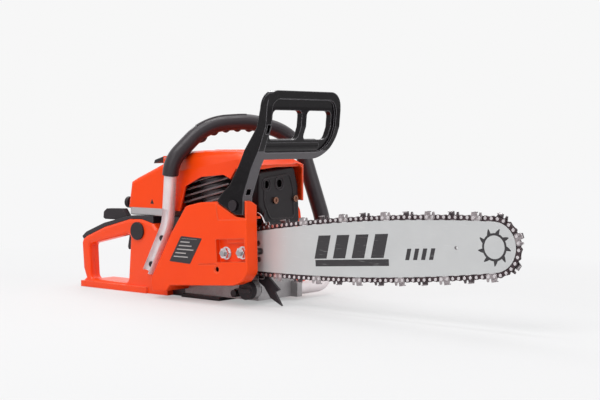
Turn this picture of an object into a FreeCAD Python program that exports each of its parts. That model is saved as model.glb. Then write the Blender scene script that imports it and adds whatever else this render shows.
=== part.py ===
import FreeCAD, Part
import math
import os
from types import SimpleNamespace
import Sketcher
from FreeCAD import Placement, Rotation, Vector

# A petrol chainsaw. +X points along the guide bar to its nose, +Y to the operator's left and
# +Z up. The plane Y = 0 is the middle of the guide bar and its chain, X = 0 is the crankshaft's
# axis, and Z = 0 is the ground under the rubber foot and the rear handle's base plate.
# The bar, chain, clutch and clutch cover share a tilted frame: its origin is on the crankshaft
# and its X axis is the bar's centre line, which rises a few degrees towards the nose.

SIZES = (
    # places shared by several pieces
    ("crank_height", 67, "crankshaft axis above the ground"),
    ("bar_tilt", 4.1, "rise of the bar's centre line, degrees"),
    ("engine_middle", 45, "Y of the cylinder's axis"),
    ("engine_right", 6, "Y of the crankcase's right face"),
    ("engine_left", 84, "Y of the crankcase's left face"),
    ("engine_rear", -52, "X of the crankcase's rear face"),
    ("engine_front", 88, "X of the crankcase's front face"),
    ("fit_gap", 0.3, "gap between surfaces that only lie close"),
    ("running_gap", 0.05, "radial gap of a pivot or a running fit"),
    # guide bar and chain
    ("bar_thick", 4, "thickness of the guide bar"),
    ("bar_half_width", 35.4, "half width of the bar at its belly"),
    ("bar_belly_reach", 300, "crankshaft to the bar's widest place"),
    ("bar_hub_reach", 464, "crankshaft to the nose sprocket's centre"),
    ("bar_nose_radius", 30, "radius of the bar's nose"),
    ("bar_heel_reach", 46, "crankshaft to the bar's rear end"),
    ("bar_heel_run", 7, "bar's rear end to where the chain meets its rail"),
    ("bar_slot_front", 104.5, "crankshaft to the front of the stud slot"),
    ("bar_slot_rear", 55, "crankshaft to the rear of the stud slot"),
    ("bar_slot_width", 8.4, "width of the stud slot"),
    ("bar_groove_width", 1.7, "width of the groove that guides the chain"),
    ("bar_groove_depth", 7.5, "depth of that groove"),
    ("oil_hole_reach", 96, "crankshaft to the oil and tension holes"),
    ("oil_hole_offset", 11, "those holes from the centre line"),
    ("oil_hole_width", 7, "diameter of those holes"),
    ("nose_hole_reach", 412, "crankshaft to the hole near the nose"),
    ("nose_hole_width", 4, "diameter of the hole near the nose"),
    ("chain_pitch", 8.255, "distance from one rivet to the next"),
    ("rivet_height", 3.7, "rivet centres above the bar's rail"),
    ("drive_link_thick", 1.4, "thickness of a drive link"),
    ("side_link_thick", 1.25, "thickness of a tie strap or cutter"),
    ("strap_lift", 0.45, "gap that keeps the straps' middles off the curved rail"),
    ("strap_height", 6.3, "height of a tie strap"),
    ("cutter_height", 7.4, "top plate of a cutter above its rivets"),
    ("tang_depth", 5.6, "reach of a drive link into the groove"),
    ("rivet_head_radius", 2.0, "radius of a rivet's head"),
    ("rivet_head_thick", 0.5, "thickness of a rivet's head"),
    ("sprocket_teeth", 7, "teeth of the drive sprocket"),
    ("nose_teeth", 13, "teeth of the nose sprocket"),
    # clutch
    ("drum_radius", 38, "outer radius of the clutch drum"),
    ("drum_wall", 2, "wall of the clutch drum"),
    ("drum_web_side", -8, "Y of the drum's inboard face"),
    ("drum_depth", 20, "width of the clutch drum"),
    ("band_thick", 1, "thickness of the brake band"),
    ("band_width", 14, "width of the brake band"),
    ("shaft_radius", 5, "radius of the crankshaft's ends"),
    ("shaft_right_end", -30, "Y of the crankshaft's clutch end"),
    ("journal_radius", 8.5, "radius of the crankshaft's journals"),
    ("bearing_radius", 17.5, "outer radius of the main bearings"),
    ("needle_thick", 1.5, "thickness of the sprocket's needle cage"),
    ("bearing_width", 12, "width of the main bearings"),
    # clutch cover
    ("cover_face", -38, "Y of the clutch cover's outer face"),
    ("cover_wall", 2.5, "wall of the clutch cover"),
    ("cover_step", 0.9, "depth of the shallow steps in the clutch cover's face"),
    ("cover_front", 106, "crankshaft to the cover's front edge"),
    ("cover_bottom", 43.5, "cover's lower edge below the centre line"),
    ("recess_floor", -30.5, "Y of the floor of the nut recess"),
    ("throat_right", -17, "Y where the cover opens for bar and chips"),
    ("stud_reach", 64, "crankshaft to the rear bar stud"),
    ("stud_spacing", 30, "distance between the two bar studs"),
    ("stud_radius", 4, "radius of the bar studs"),
    ("nut_radius", 7.5, "circumscribed radius of the bar nuts"),
    ("nut_thick", 7, "thickness of the bar nuts"),
    # brake lever with its hand guard
    ("lever_x", 83.2, "X of the brake lever's pivot"),
    ("lever_z", 136.7, "Z of the brake lever's pivot"),
    ("lever_width", 18, "width of the lever's arm along Y"),
    ("pivot_radius", 4, "radius of the lever's pivot bolt"),
    ("guard_far", 116, "Y of the hand guard's far end"),
    ("guard_height", 91, "height of the hand guard's frame"),
    ("guard_corner", 26, "radius of the hand guard's far corners"),
    ("guard_recess", 3.5, "depth of the channel in the hand guard's front face"),
    ("window_low", 224, "Z of the lower edge of the guard's windows"),
    ("window_high", 263, "Z of the upper edge of the guard's windows"),
    ("guard_low", 61, "height of the guard's lower edge above the lever's pivot"),
    ("guard_thick", 12, "thickness of the hand guard"),
    # crankcase, cylinder and muffler
    ("case_radius", 50, "radius of the crank chamber's housing"),
    ("case_bottom", 5, "Z of the crankcase's underside"),
    ("cylinder_tilt", 13, "backward lean of the cylinder, degrees"),
    ("deck_height", 50, "cylinder's foot above the crankshaft"),
    ("barrel_radius", 27, "radius of the cylinder barrel"),
    ("barrel_height", 62.6, "height of the cylinder barrel"),
    ("fin_count", 7, "number of cooling fins"),
    ("fin_pitch", 8.4, "distance from one fin to the next"),
    ("fin_thick", 2.2, "thickness of a fin"),
    ("fin_length", 92, "length of a fin along X"),
    ("fin_width", 76, "width of a fin along Y"),
    ("intake_radius", 12, "outer radius of the intake port"),
    ("intake_height", 36, "intake port above the cylinder's foot"),
    ("muffler_rear", 50, "X of the muffler's rear face"),
    ("muffler_front", 86, "X of the muffler's front face"),
    ("muffler_low", 116, "Z of the muffler's underside"),
    ("muffler_high", 174, "Z of the muffler's top"),
    ("shield_thick", 2, "thickness of the muffler's shield"),
    ("shield_front", 93, "X of the shield's front face"),
    # covers over the engine and the air box
    ("shroud_right", -2, "Y of the cylinder cover's right face"),
    ("shroud_left", 95, "Y of the cylinder cover's left face"),
    ("shroud_rear", -79, "X of the cylinder cover's rear face"),
    ("shroud_front", 98, "X of the cylinder cover's front lip"),
    ("shroud_top", 209, "Z of the cylinder cover's roof"),
    ("shell_wall", 3, "wall of the moulded covers"),
    ("airbox_right", 0, "Y of the air box's right face"),
    ("airbox_left", 88, "Y of the air box's left face"),
    ("airbox_rear", -166, "X of the air box's rear face"),
    ("airbox_low", 113, "Z of the air box's underside"),
    ("airbox_split", 124, "Z of the joint between air box and cover"),
    # rear handle with the fuel tank
    ("handle_rear", -264, "X of the rear handle's rearmost edge"),
    ("post_front", -119, "X of the front face of the handle's post"),
    ("grip_right", -5, "Y of the rear handle's right face"),
    ("grip_left", 17, "Y of the rear handle's left face"),
    ("tank_front", -62, "X of the fuel tank's front face"),
    ("tank_left", 84, "Y of the fuel tank's left face"),
    ("tank_top", 93, "Z of the fuel tank's top"),
    ("tank_wall", 3, "wall of the fuel tank"),
    ("lever_slot_right", 0, "Y of the right side of the lever slots"),
    ("lever_slot_left", 12, "Y of the left side of the lever slots"),
    ("trigger_x", -154, "X of the throttle trigger's pivot"),
    ("trigger_z", 96, "Z of the throttle trigger's pivot"),
    ("lockout_x", -172, "X of the throttle lockout's pivot"),
    ("lockout_z", 99, "Z of the throttle lockout's pivot"),
    ("switch_x", -133, "X of the stop switch's slot"),
    ("switch_z", 88, "Z of the stop switch's slot"),
    ("pin_radius", 2, "radius of the trigger and lockout pins"),
    ("latch_x", -87, "X of the filter latch's pivot"),
    ("latch_z", 197, "Z of the filter latch's pivot"),
    ("latch_right", 3, "Y of the filter latch's right face"),
    ("latch_left", 21, "Y of the filter latch's left face"),
    ("latch_pin_radius", 1.2, "radius of the filter latch's pin"),
    ("foot_thick", 5, "thickness of the rubber foot"),
    ("foot_rear", -77, "X of the rubber foot's rear end"),
    # front handle
    ("tube_radius", 9, "radius of the front handle's tube"),
    ("channel_floor", 8, "handle tube's screw seats to the rear handle's face"),
    ("handle_screw_radius", 2, "radius of the front handle's screws"),
    ("sleeve_radius", 11.4, "radius of its rubber sleeve"),
    # starter side
    ("flywheel_radius", 47, "radius of the flywheel"),
    ("starter_outer", 124, "Y of the starter cover's outer face"),
    ("pulley_radius", 27, "radius of the starter pulley"),
    ("cap_radius", 12.5, "radius of the oil cap"),
    ("fuel_cap_radius", 18, "radius of the fuel cap"),
    ("fuel_cap_x", -92, "X of the fuel cap"),
    ("fuel_cap_z", 48, "Z of the fuel cap"),
)

doc = FreeCAD.newDocument("chainsaw")
sheet = doc.addObject("Spreadsheet::Sheet", "sizes")
for row, (alias, number, note) in enumerate(SIZES, start=1):
    sheet.set(f"A{row}", note)
    sheet.set(f"B{row}", str(number))
    sheet.setAlias(f"B{row}", alias)
doc.recompute()


class Size:
    """A number from the sheet together with the formula that gives it."""

    def __init__(self, number, formula):
        self.number = number
        self.formula = formula

    def __float__(self):
        return float(self.number)

    def __neg__(self):
        return Size(-self.number, f"-({self.formula})")

    def __add__(self, other):
        return Size(self.number + float(other), f"({self.formula} + {formula_of(other)})")

    def __radd__(self, other):
        return Size(float(other) + self.number, f"({formula_of(other)} + {self.formula})")

    def __sub__(self, other):
        return Size(self.number - float(other), f"({self.formula} - {formula_of(other)})")

    def __rsub__(self, other):
        return Size(float(other) - self.number, f"({formula_of(other)} - {self.formula})")

    def __mul__(self, other):
        return Size(self.number * float(other), f"({self.formula} * {formula_of(other)})")

    __rmul__ = __mul__

    def __truediv__(self, other):
        return Size(self.number / float(other), f"({self.formula} / {formula_of(other)})")


def formula_of(value):
    """The text that an expression needs for a size or a plain number."""
    return value.formula if isinstance(value, Size) else f"{float(value):.9g}"


s = SimpleNamespace(**{a: Size(float(sheet.get(a)), "sizes." + a) for a, _, _ in SIZES})

UPRIGHT = Rotation()
TO_LEFT = Rotation(Vector(1, 0, 0), -90)    # turns an upright axis to +Y
TO_RIGHT = Rotation(Vector(1, 0, 0), 90)    # turns an upright axis to -Y
TO_FRONT = Rotation(Vector(0, 1, 0), 90)    # turns an upright axis to +X
TO_REAR = Rotation(Vector(0, 1, 0), -90)    # turns an upright axis to -X

# The helpers below make document objects whose sizes are bound to the sheet.


def bind(feature, **sizes):
    """Tie properties of a feature to the sheet."""
    for name, value in sizes.items():
        feature.setExpression(name, formula_of(value))
    return feature


def place(feature, x=0, y=0, z=0, turn=UPRIGHT):
    """Put a feature at a place given by sizes, turned by a fixed rotation."""
    feature.Placement = Placement(Vector(float(x), float(y), float(z)), turn)
    for axis, value in zip("xyz", (x, y, z)):
        feature.setExpression(f"Placement.Base.{axis}", formula_of(value))
    return feature


def box(x, y, z):
    """A box from three (low, high) pairs."""
    feature = doc.addObject("Part::Box", "box")
    bind(feature, Length=x[1] - x[0], Width=y[1] - y[0], Height=z[1] - z[0])
    return place(feature, x[0], y[0], z[0])


def cylinder(radius, length, x=0, y=0, z=0, turn=TO_LEFT):
    feature = doc.addObject("Part::Cylinder", "rod")
    bind(feature, Radius=radius, Height=length)
    return place(feature, x, y, z, turn)


def cone(radius, end_radius, length, x=0, y=0, z=0, turn=TO_LEFT):
    feature = doc.addObject("Part::Cone", "cone")
    bind(feature, Radius1=radius, Radius2=end_radius, Height=length)
    return place(feature, x, y, z, turn)


def prism(sides, radius, length, x=0, y=0, z=0, turn=TO_LEFT):
    feature = doc.addObject("Part::Prism", "prism")
    feature.Polygon = sides
    bind(feature, Circumradius=radius, Height=length)
    return place(feature, x, y, z, turn)


def fuse(*pieces):
    feature = doc.addObject("Part::MultiFuse", "union")
    feature.Shapes = list(pieces)
    feature.Refine = True
    return feature


def common(*pieces):
    feature = doc.addObject("Part::MultiCommon", "overlap")
    feature.Shapes = list(pieces)
    return feature


def cut(piece, *tools):
    feature = doc.addObject("Part::Cut", "difference")
    feature.Base = piece
    feature.Tool = tools[0] if len(tools) == 1 else fuse(*tools)
    feature.Refine = True
    return feature


def group(*pieces):
    feature = doc.addObject("Part::Compound", "group")
    feature.Links = list(pieces)
    return feature


def tube(radius, bore, length, x=0, y=0, z=0, turn=TO_LEFT):
    return cut(cylinder(radius, length, x, y, z, turn), cylinder(bore, length, x, y, z, turn))


def outline(body, plane, corners, offset):
    """A closed sketch through corners whose coordinates are bound to the sheet."""
    sketch = body.newObject("Sketcher::SketchObject", body.Name + "_outline")
    support = [f for f in body.Origin.OriginFeatures if f.Role == plane + "_Plane"]
    sketch.AttachmentSupport = [(support[0], "")]
    sketch.MapMode = "FlatFace"
    sketch.setExpression("AttachmentOffset.Base.z", formula_of(offset))
    points = [Vector(float(u), float(v), 0) for u, v in corners]
    count = len(points)
    for index in range(count):
        sketch.addGeometry(Part.LineSegment(points[index], points[(index + 1) % count]))
    for index in range(count):
        following = (index + 1) % count
        sketch.addConstraint(Sketcher.Constraint("Coincident", index, 2, following, 1))
    for index, (u, v) in enumerate(corners):
        for kind, value in (("DistanceX", u), ("DistanceY", v)):
            number = float(value)
            place_of = sketch.addConstraint(Sketcher.Constraint(kind, -1, 1, index, 1, number))
            sketch.setExpression(f"Constraints[{place_of}]", formula_of(value))
    return sketch


def pad(body, plane, corners, low, high):
    """Add the outline's solid between two places on the axis square to its plane."""
    sketch = outline(body, plane, corners, -high if plane == "XZ" else low)
    feature = body.newObject("PartDesign::Pad", body.Name + "_pad")
    feature.Profile = sketch
    bind(feature, Length=high - low)
    body.Tip = feature
    return feature


def pocket(body, plane, corners, low, high):
    """Take the outline's solid away between two places, and check that it cut."""
    doc.recompute()
    before = body.Shape.Volume
    sketch = outline(body, plane, corners, -low if plane == "XZ" else high)
    feature = body.newObject("PartDesign::Pocket", body.Name + "_pocket")
    feature.Profile = sketch
    bind(feature, Length=high - low)
    body.Tip = feature
    doc.recompute()
    if body.Shape.Volume > before - 1e-6:
        raise RuntimeError(feature.Name + " cuts nothing")
    return feature


def soften(body, chosen, radius, kind="Fillet"):
    """Round or bevel the edges of a body that a test on the edge picks."""
    doc.recompute()
    base = body.Tip
    names = [f"Edge{i}" for i, e in enumerate(base.Shape.Edges, start=1) if chosen(e)]
    if not names:
        raise RuntimeError(body.Name + " has no such edge")
    feature = body.newObject("PartDesign::" + kind, body.Name + "_" + kind.lower())
    feature.Base = (base, names)
    bind(feature, **{"Radius" if kind == "Fillet" else "Size": radius})
    body.Tip = feature
    doc.recompute()
    if "Invalid" in feature.State:
        raise RuntimeError(feature.Name + " can't round its edges")
    return feature


def lies_on(axis, value):
    """A test for edges that lie in the plane where one coordinate has a value."""
    def chosen(edge):
        return all(abs(getattr(v.Point, axis) - float(value)) < 1e-4 for v in edge.Vertexes)
    return chosen


def runs_along(axis, places, tolerance=0.5):
    """A test for edges parallel to an axis that pass near one of the given corners."""
    others = [a for a in "xyz" if a != axis]

    def chosen(edge):
        if len(edge.Vertexes) != 2:
            return False
        first, last = (v.Point for v in edge.Vertexes)
        if any(abs(getattr(first, a) - getattr(last, a)) > 1e-4 for a in others):
            return False
        spot = [getattr(first, a) for a in others]
        return any(abs(spot[0] - float(u)) < tolerance and abs(spot[1] - float(v)) < tolerance
                   for u, v in places)
    return chosen


def new_body(name):
    return doc.addObject("PartDesign::Body", name + "_body")


def shape_feature(name, shape):
    feature = doc.addObject("Part::Feature", name + "_shape")
    feature.Shape = shape
    return feature


NODES = []


def node(feature, label):
    """Name a finished sub-part. Its label names its file."""
    feature.Label = label
    NODES.append(feature)
    return feature


def lean(feature, angle, x=0, y=0, z=0, axis=Vector(0, -1, 0)):
    """Put a feature at a place and turn it by an angle that the sheet holds."""
    if feature.TypeId in ("Part::Box", "Part::Cylinder", "Part::Prism"):
        feature = group(feature)
    turn = Rotation(axis, float(angle))
    feature.Placement = Placement(Vector(float(x), float(y), float(z)), turn)
    for name, value in zip("xyz", (x, y, z)):
        feature.setExpression(f"Placement.Base.{name}", formula_of(value))
    feature.setExpression("Placement.Rotation.Angle", formula_of(angle))
    return feature


def on_bar_line(feature):
    """Move a piece from the bar's tilted frame to its place on the saw."""
    return lean(feature, s.bar_tilt, z=s.crank_height)


# Guide bar: a flat lens of two large arcs, closed by a round nose, with a groove all round
# its edge for the chain, a slot for the two studs and holes for oil and for the tensioner.


def bar_blank(shrink, thick):
    """The bar's outline moved inwards by a distance, as a plate of a given thickness."""
    nose = s.bar_nose_radius - shrink
    half = s.bar_half_width - shrink
    rise = s.bar_hub_reach - s.bar_belly_reach
    arc = (rise * rise + half * half - nose * nose) / (2 * (half - nose))
    low, high = -thick / 2, thick / 2
    tangent = s.bar_hub_reach + nose * rise / (arc - nose)
    disks = [cylinder(arc, thick, s.bar_belly_reach, low, side * (half - arc))
             for side in (1, -1)]
    span = box((s.bar_heel_reach + shrink, tangent), (low, high), (-half - 5, half + 5))
    return fuse(common(span, *disks), cylinder(nose, thick, s.bar_hub_reach, low, 0))


def guide_bar():
    thick = s.bar_thick
    low, high = -thick / 2, thick / 2
    slot_radius = s.bar_slot_width / 2
    slot = fuse(
        box((s.bar_slot_rear + slot_radius, s.bar_slot_front - slot_radius),
            (low, high), (-slot_radius, slot_radius)),
        cylinder(slot_radius, thick, s.bar_slot_rear + slot_radius, low),
        cylinder(slot_radius, thick, s.bar_slot_front - slot_radius, low))
    groove = cut(bar_blank(0, s.bar_groove_width),
                 bar_blank(s.bar_groove_depth, s.bar_groove_width))
    nose_slot = cylinder(s.bar_nose_radius - s.running_gap, s.bar_groove_width,
                         s.bar_hub_reach, -s.bar_groove_width / 2)
    holes = [cylinder(s.oil_hole_width / 2, thick, s.oil_hole_reach, low,
                      side * s.oil_hole_offset) for side in (1, -1)]
    nose_hole = cylinder(s.nose_hole_width / 2, thick, s.nose_hole_reach, low)
    bar = cut(bar_blank(0, thick), groove, nose_slot, slot, nose_hole, *holes)
    return node(on_bar_line(bar), "guide_bar")


def nose_sprocket():
    """A toothed disk in the nose's slot, on a rivet through both sides of the bar."""
    thick = s.drive_link_thick
    low = -thick / 2
    root = s.bar_nose_radius - s.tang_depth - 0.4
    disk = cylinder(root, thick, s.bar_hub_reach, low)
    tip = float(root) + 4.2
    pitch = 2 * math.pi / int(float(s.nose_teeth))
    teeth = []
    for index in range(int(float(s.nose_teeth))):
        middle = nose_phase() + (index + 0.5) * pitch
        corners = [polar(s.bar_hub_reach, float(root) - 2, middle - 0.16 * pitch),
                   polar(s.bar_hub_reach, tip, middle - 0.07 * pitch),
                   polar(s.bar_hub_reach, tip, middle + 0.07 * pitch),
                   polar(s.bar_hub_reach, float(root) - 2, middle + 0.16 * pitch)]
        teeth.append(plate(corners, float(low), float(thick)))
    star = shape_feature("nose_teeth", Part.makeCompound(teeth))
    return node(on_bar_line(fuse(disk, star)), "nose_sprocket")


# Chain: drive links in the groove, tie straps and cutters on both sides of them, and rivets.
# Its rivets lie on a line that keeps a fixed height over the bar's rail, from the drive
# sprocket along the bar, round the nose and back.


def polar(reach, radius, angle):
    """A point in the bar's frame at an angle round a centre on the bar's centre line."""
    return Vector(float(reach) + radius * math.cos(angle), 0, radius * math.sin(angle))


def plate(corners, low, thick, holes=()):
    """A plate square to Y through corners, with round holes (x, z, radius)."""
    wire = Part.makePolygon(list(corners) + [corners[0]])
    face = Part.Face(wire)
    shape = face.extrude(Vector(0, thick, 0))
    shape.translate(Vector(0, low, 0))
    for x, z, radius in holes:
        drill = Part.makeCylinder(radius, thick, Vector(x, low, z), Vector(0, 1, 0))
        shape = shape.cut(drill)
    return shape


def rivet_line():
    """The rivets' line in the bar's frame, as a wire that starts behind the sprocket."""
    rivets = float(s.rivet_height)
    half = float(s.bar_half_width) + rivets
    nose = float(s.bar_nose_radius) + rivets
    belly, hub = float(s.bar_belly_reach), float(s.bar_hub_reach)
    rise = hub - belly
    arc = (rise ** 2 + half ** 2 - nose ** 2) / (2 * (half - nose))
    lower_centre = half - arc
    tangent = math.atan2(rise, -lower_centre)
    wheel = sprocket_pitch_radius()
    # The straight run leaves the sprocket and meets the belly arc at the bar's heel.
    heel = float(s.bar_heel_reach) + float(s.bar_heel_run)
    meet_angle = math.asin((belly - heel) / arc)
    meet = (heel, lower_centre + arc * math.cos(meet_angle))
    distance = math.hypot(*meet)
    lift = math.atan2(meet[1], meet[0]) + math.acos(wheel / distance)
    start = (wheel * math.cos(lift), wheel * math.sin(lift))
    nose_meet = (hub + nose * math.sin(tangent), nose * math.cos(tangent))
    crown = (belly, half)

    def at(pair, side):
        return Vector(pair[0], 0, side * pair[1])

    edges = [Part.Arc(at((-wheel, 0), 1), at((-wheel * math.sin(0.5), wheel * math.cos(0.5)), 1),
                      at(start, 1)).toShape()]
    edges.append(Part.makeLine(at(start, 1), at(meet, 1)))
    edges.append(Part.Arc(at(meet, 1), at(crown, 1), at(nose_meet, 1)).toShape())
    edges.append(Part.Arc(at(nose_meet, 1), Vector(hub + nose, 0, 0),
                          at(nose_meet, -1)).toShape())
    edges.append(Part.Arc(at(nose_meet, -1), at(crown, -1), at(meet, -1)).toShape())
    edges.append(Part.makeLine(at(meet, -1), at(start, -1)))
    edges.append(Part.Arc(at(start, -1), at((-wheel * math.sin(0.5), wheel * math.cos(0.5)), -1),
                          at((-wheel, 0), 1)).toShape())
    return Part.Wire(edges)


def sprocket_pitch_radius():
    """Radius of the rivets' circle round the drive sprocket: two rivets for each tooth."""
    return float(s.chain_pitch) / (2 * math.sin(math.pi / (2 * float(s.sprocket_teeth))))


def rivet_places():
    """Rivet centres along the line, an even number of them, starting half a pitch before."""
    line = rivet_line()
    count = 2 * round(line.Length / float(s.chain_pitch) / 2)
    points = line.discretize(Number=2 * count + 1)[:-1]
    return [points[(2 * index - 1) % (2 * count)] for index in range(count)]


def nose_phase():
    """Angle of the first drive link's middle on the nose, seen from the nose's centre."""
    places = rivet_places()
    hub = float(s.bar_hub_reach)
    for first, last in zip(places[0::2], places[1::2]):
        middle = (first + last) * 0.5
        if middle.x > hub:
            return math.atan2(middle.z, middle.x - hub)
    return 0.0


def link_frame(first, last):
    """Turns a link drawn along +X with its outside up into its place between two rivets."""
    along = (last - first).normalize()
    outward = Vector(0, 1, 0).cross(along) * -1
    matrix = FreeCAD.Matrix(along.x, 0, outward.x, first.x, 0, 1, 0, 0,
                            along.z, 0, outward.z, first.z, 0, 0, 0, 1)
    return Placement(matrix)


def drive_link(span, bore):
    """A plate with a pointed tang that runs in the bar's groove."""
    rivets, tang = float(s.rivet_height), float(s.tang_depth)
    thick = float(s.drive_link_thick)
    end = 2.4
    corners = [Vector(x, 0, z) for x, z in (
        (-end, -1.4), (-1.2, -2.9), (span / 2 - 3.4, -rivets), (span / 2 - 2.6, -rivets - tang),
        (span / 2 - 0.6, -rivets - tang), (span / 2 + 3.4, -rivets), (span + 1.2, -2.9),
        (span + end, -1.4), (span + end, 1.3), (span + 1.0, 2.8), (span / 2 + 1.5, 2.2),
        (span / 2 - 1.5, 2.2), (-1.0, 2.8), (-end, 1.3))]
    return plate(corners, -thick / 2, thick, ((0, 0, bore), (span, 0, bore)))


def tie_strap(span, bore):
    """A rounded side plate; its lower edge slides on the bar's rail."""
    rivets = float(s.rivet_height) - float(s.strap_lift)
    end = 3.4
    top = float(s.strap_height) - rivets
    corners = [Vector(x, 0, z) for x, z in (
        (-end, -rivets + 1.6), (-end + 1.4, -rivets), (span + end - 1.4, -rivets),
        (span + end, -rivets + 1.6), (span + end, top - 1.4), (span + end - 1.8, top),
        (span / 2 + 1.6, top - 0.9), (span / 2 - 1.6, top - 0.9), (-end + 1.8, top),
        (-end, top - 1.4))]
    thick = float(s.side_link_thick)
    return plate(corners, 0, thick, ((0, 0, bore), (span, 0, bore)))


def cutter(span, bore, side):
    """A side plate with a depth gauge in front and a top plate bent over the chain."""
    rivets = float(s.rivet_height) - float(s.strap_lift)
    high = float(s.cutter_height)
    thick = float(s.side_link_thick)
    end = 3.4
    corners = [Vector(x, 0, z) for x, z in (
        (-end, -rivets + 1.6), (-end + 1.4, -rivets), (span + end - 1.4, -rivets),
        (span + end, -rivets + 1.6), (span + end, 2.4), (span + 2.6, high - 0.9),
        (span + 0.4, high - 0.9), (span - 0.6, 3.0), (span - 3.0, 2.6), (span - 3.6, high),
        (-2.2, high - 0.5), (-end, 2.0))]
    body = plate(corners, 0, thick, ((0, 0, bore), (span, 0, bore)))
    reach = float(s.drive_link_thick) + thick + 0.4
    top = Part.makeBox(span - 2.0, reach, 1.1, Vector(-2.1, -reach, high - 1.6))
    solid = body.fuse(top).removeSplitter()
    if side < 0:
        solid = solid.mirror(Vector(), Vector(0, 1, 0))
    return solid


def chain():
    """The four kinds of chain pieces, one node each, as separate solids."""
    places = rivet_places()
    count = len(places)
    thick, side_thick = float(s.drive_link_thick), float(s.side_link_thick)
    head, head_thick = float(s.rivet_head_radius), float(s.rivet_head_thick)
    bore = 1.5
    drives, straps, cutters, rivets = [], [], [], []
    for index in range(count):
        first, last = places[index], places[(index + 1) % count]
        frame = link_frame(first, last)
        span = (last - first).Length
        outer = thick / 2 + side_thick
        turn = Placement(first, Rotation())
        pin = Part.makeCylinder(bore, 2 * outer, Vector(0, -outer, 0), Vector(0, 1, 0))
        for side in (-outer - head_thick, outer):
            pin = pin.fuse(Part.makeCylinder(head, head_thick, Vector(0, side, 0),
                                             Vector(0, 1, 0)))
        rivets.append(pin.transformed(turn.toMatrix()))
        if index % 2 == 0:
            drives.append(drive_link(span, bore).transformed(frame.toMatrix()))
            continue
        kind = (index // 2) % 4
        for side in (-1, 1):
            shift = Vector(0, thick / 2 if side > 0 else -thick / 2 - side_thick, 0)
            if kind % 2 == 0 and side == (-1 if kind == 0 else 1):
                piece = cutter(span, bore, 1)
                if side < 0:
                    piece = piece.mirror(Vector(), Vector(0, 1, 0))
                    shift = Vector(0, -thick / 2, 0)
                target = cutters
            else:
                piece = tie_strap(span, bore)
                target = straps
            piece.translate(shift)
            target.append(piece.transformed(frame.toMatrix()))
    for label, solids in (("chain_drive_links", drives), ("chain_tie_straps", straps),
                          ("chain_cutters", cutters), ("chain_rivets", rivets)):
        node(on_bar_line(shape_feature(label, Part.makeCompound(solids))), label)


# Clutch: the sprocket and its drum stand on the chain's line, the hub with three shoes turns
# with the crankshaft inside the drum, and the brake band lies round the drum.


def drive_sprocket():
    """A spur sprocket on the drum's inboard side; the chain's straps ride on its teeth."""
    half_pitch = math.pi / float(s.sprocket_teeth) / 2
    tip = sprocket_pitch_radius() * math.cos(half_pitch) - float(s.rivet_height) - 0.3
    root = tip - float(s.tang_depth) - 0.4
    width = 6.4
    pitch = 2 * math.pi / float(s.sprocket_teeth)
    places = rivet_places()
    middle = (places[0] + places[1]) * 0.5
    phase = math.atan2(middle.z, middle.x)
    bore = float(s.shaft_radius) + float(s.needle_thick)
    solid = Part.makeCylinder(root, width, Vector(0, -width / 2, 0), Vector(0, 1, 0))
    for index in range(int(float(s.sprocket_teeth))):
        angle = phase + (index + 0.5) * pitch
        corners = [polar(0, root - 1, angle - 0.07 * pitch), polar(0, tip, angle - 0.04 * pitch),
                   polar(0, tip, angle + 0.04 * pitch), polar(0, root - 1, angle + 0.07 * pitch)]
        solid = solid.fuse(plate(corners, -width / 2, width))
    neck_low = float(s.drum_web_side)
    neck = Part.makeCylinder(root, -width / 2 - neck_low, Vector(0, neck_low, 0), Vector(0, 1, 0))
    hole = Part.makeCylinder(bore, width - neck_low + 8, Vector(0, neck_low - 4, 0),
                             Vector(0, 1, 0))
    solid = solid.fuse(neck).cut(hole).removeSplitter()
    return node(on_bar_line(shape_feature("drive_sprocket", solid)), "drive_sprocket")


def clutch_drum():
    open_side = s.drum_web_side - s.drum_depth
    cup = cylinder(s.drum_radius, s.drum_depth, 0, open_side)
    hollow = cylinder(s.drum_radius - s.drum_wall, s.drum_depth - s.drum_wall, 0, open_side)
    bore = cylinder(s.shaft_radius + s.needle_thick, s.drum_depth, 0, open_side)
    return node(on_bar_line(cut(cup, hollow, bore)), "clutch_drum")


def sprocket_bearing():
    """The needle cage between the crankshaft and the sprocket."""
    ring = tube(s.shaft_radius + s.needle_thick - s.running_gap,
                s.shaft_radius + s.running_gap, 12,
                0, s.drum_web_side - 1)
    return node(on_bar_line(ring), "sprocket_bearing")


def clutch_hub():
    """A three-armed hub on the crankshaft's end."""
    width = 10
    low = s.drum_web_side - s.drum_depth + 4
    hub = cylinder(13, width, 0, low)
    arms = [lean(box((8, 22), (low, low + width), (-5, 5)), 120 * index + 30)
            for index in range(3)]
    bore = cylinder(s.shaft_radius, width, 0, low)
    return node(on_bar_line(cut(fuse(hub, *arms), bore)), "clutch_hub")


def clutch_shoes():
    """Three centrifugal shoes between the hub's arms, clear of the drum at rest."""
    width = 10
    low = s.drum_web_side - s.drum_depth + 4
    outer = s.drum_radius - s.drum_wall - 0.8
    shoes = []
    for index in range(3):
        ring = tube(outer, 22.6, width, 0, low)
        slice_box = box((-26, 26), (low, low + width), (12, outer))
        shoes.append(lean(common(ring, slice_box), 120 * index))
    return node(on_bar_line(group(*shoes)), "clutch_shoes")


def brake_band():
    """An open steel band round the drum; its gap faces the brake lever."""
    inner = s.drum_radius + 0.8
    low = s.drum_web_side - s.drum_depth + 3
    ring = tube(inner + s.band_thick, inner, s.band_width, 0, low)
    gap = lean(box((0, inner + 4), (low, low + s.band_width), (-6, 6)), 60)
    return node(on_bar_line(cut(ring, gap)), "brake_band")


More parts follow.
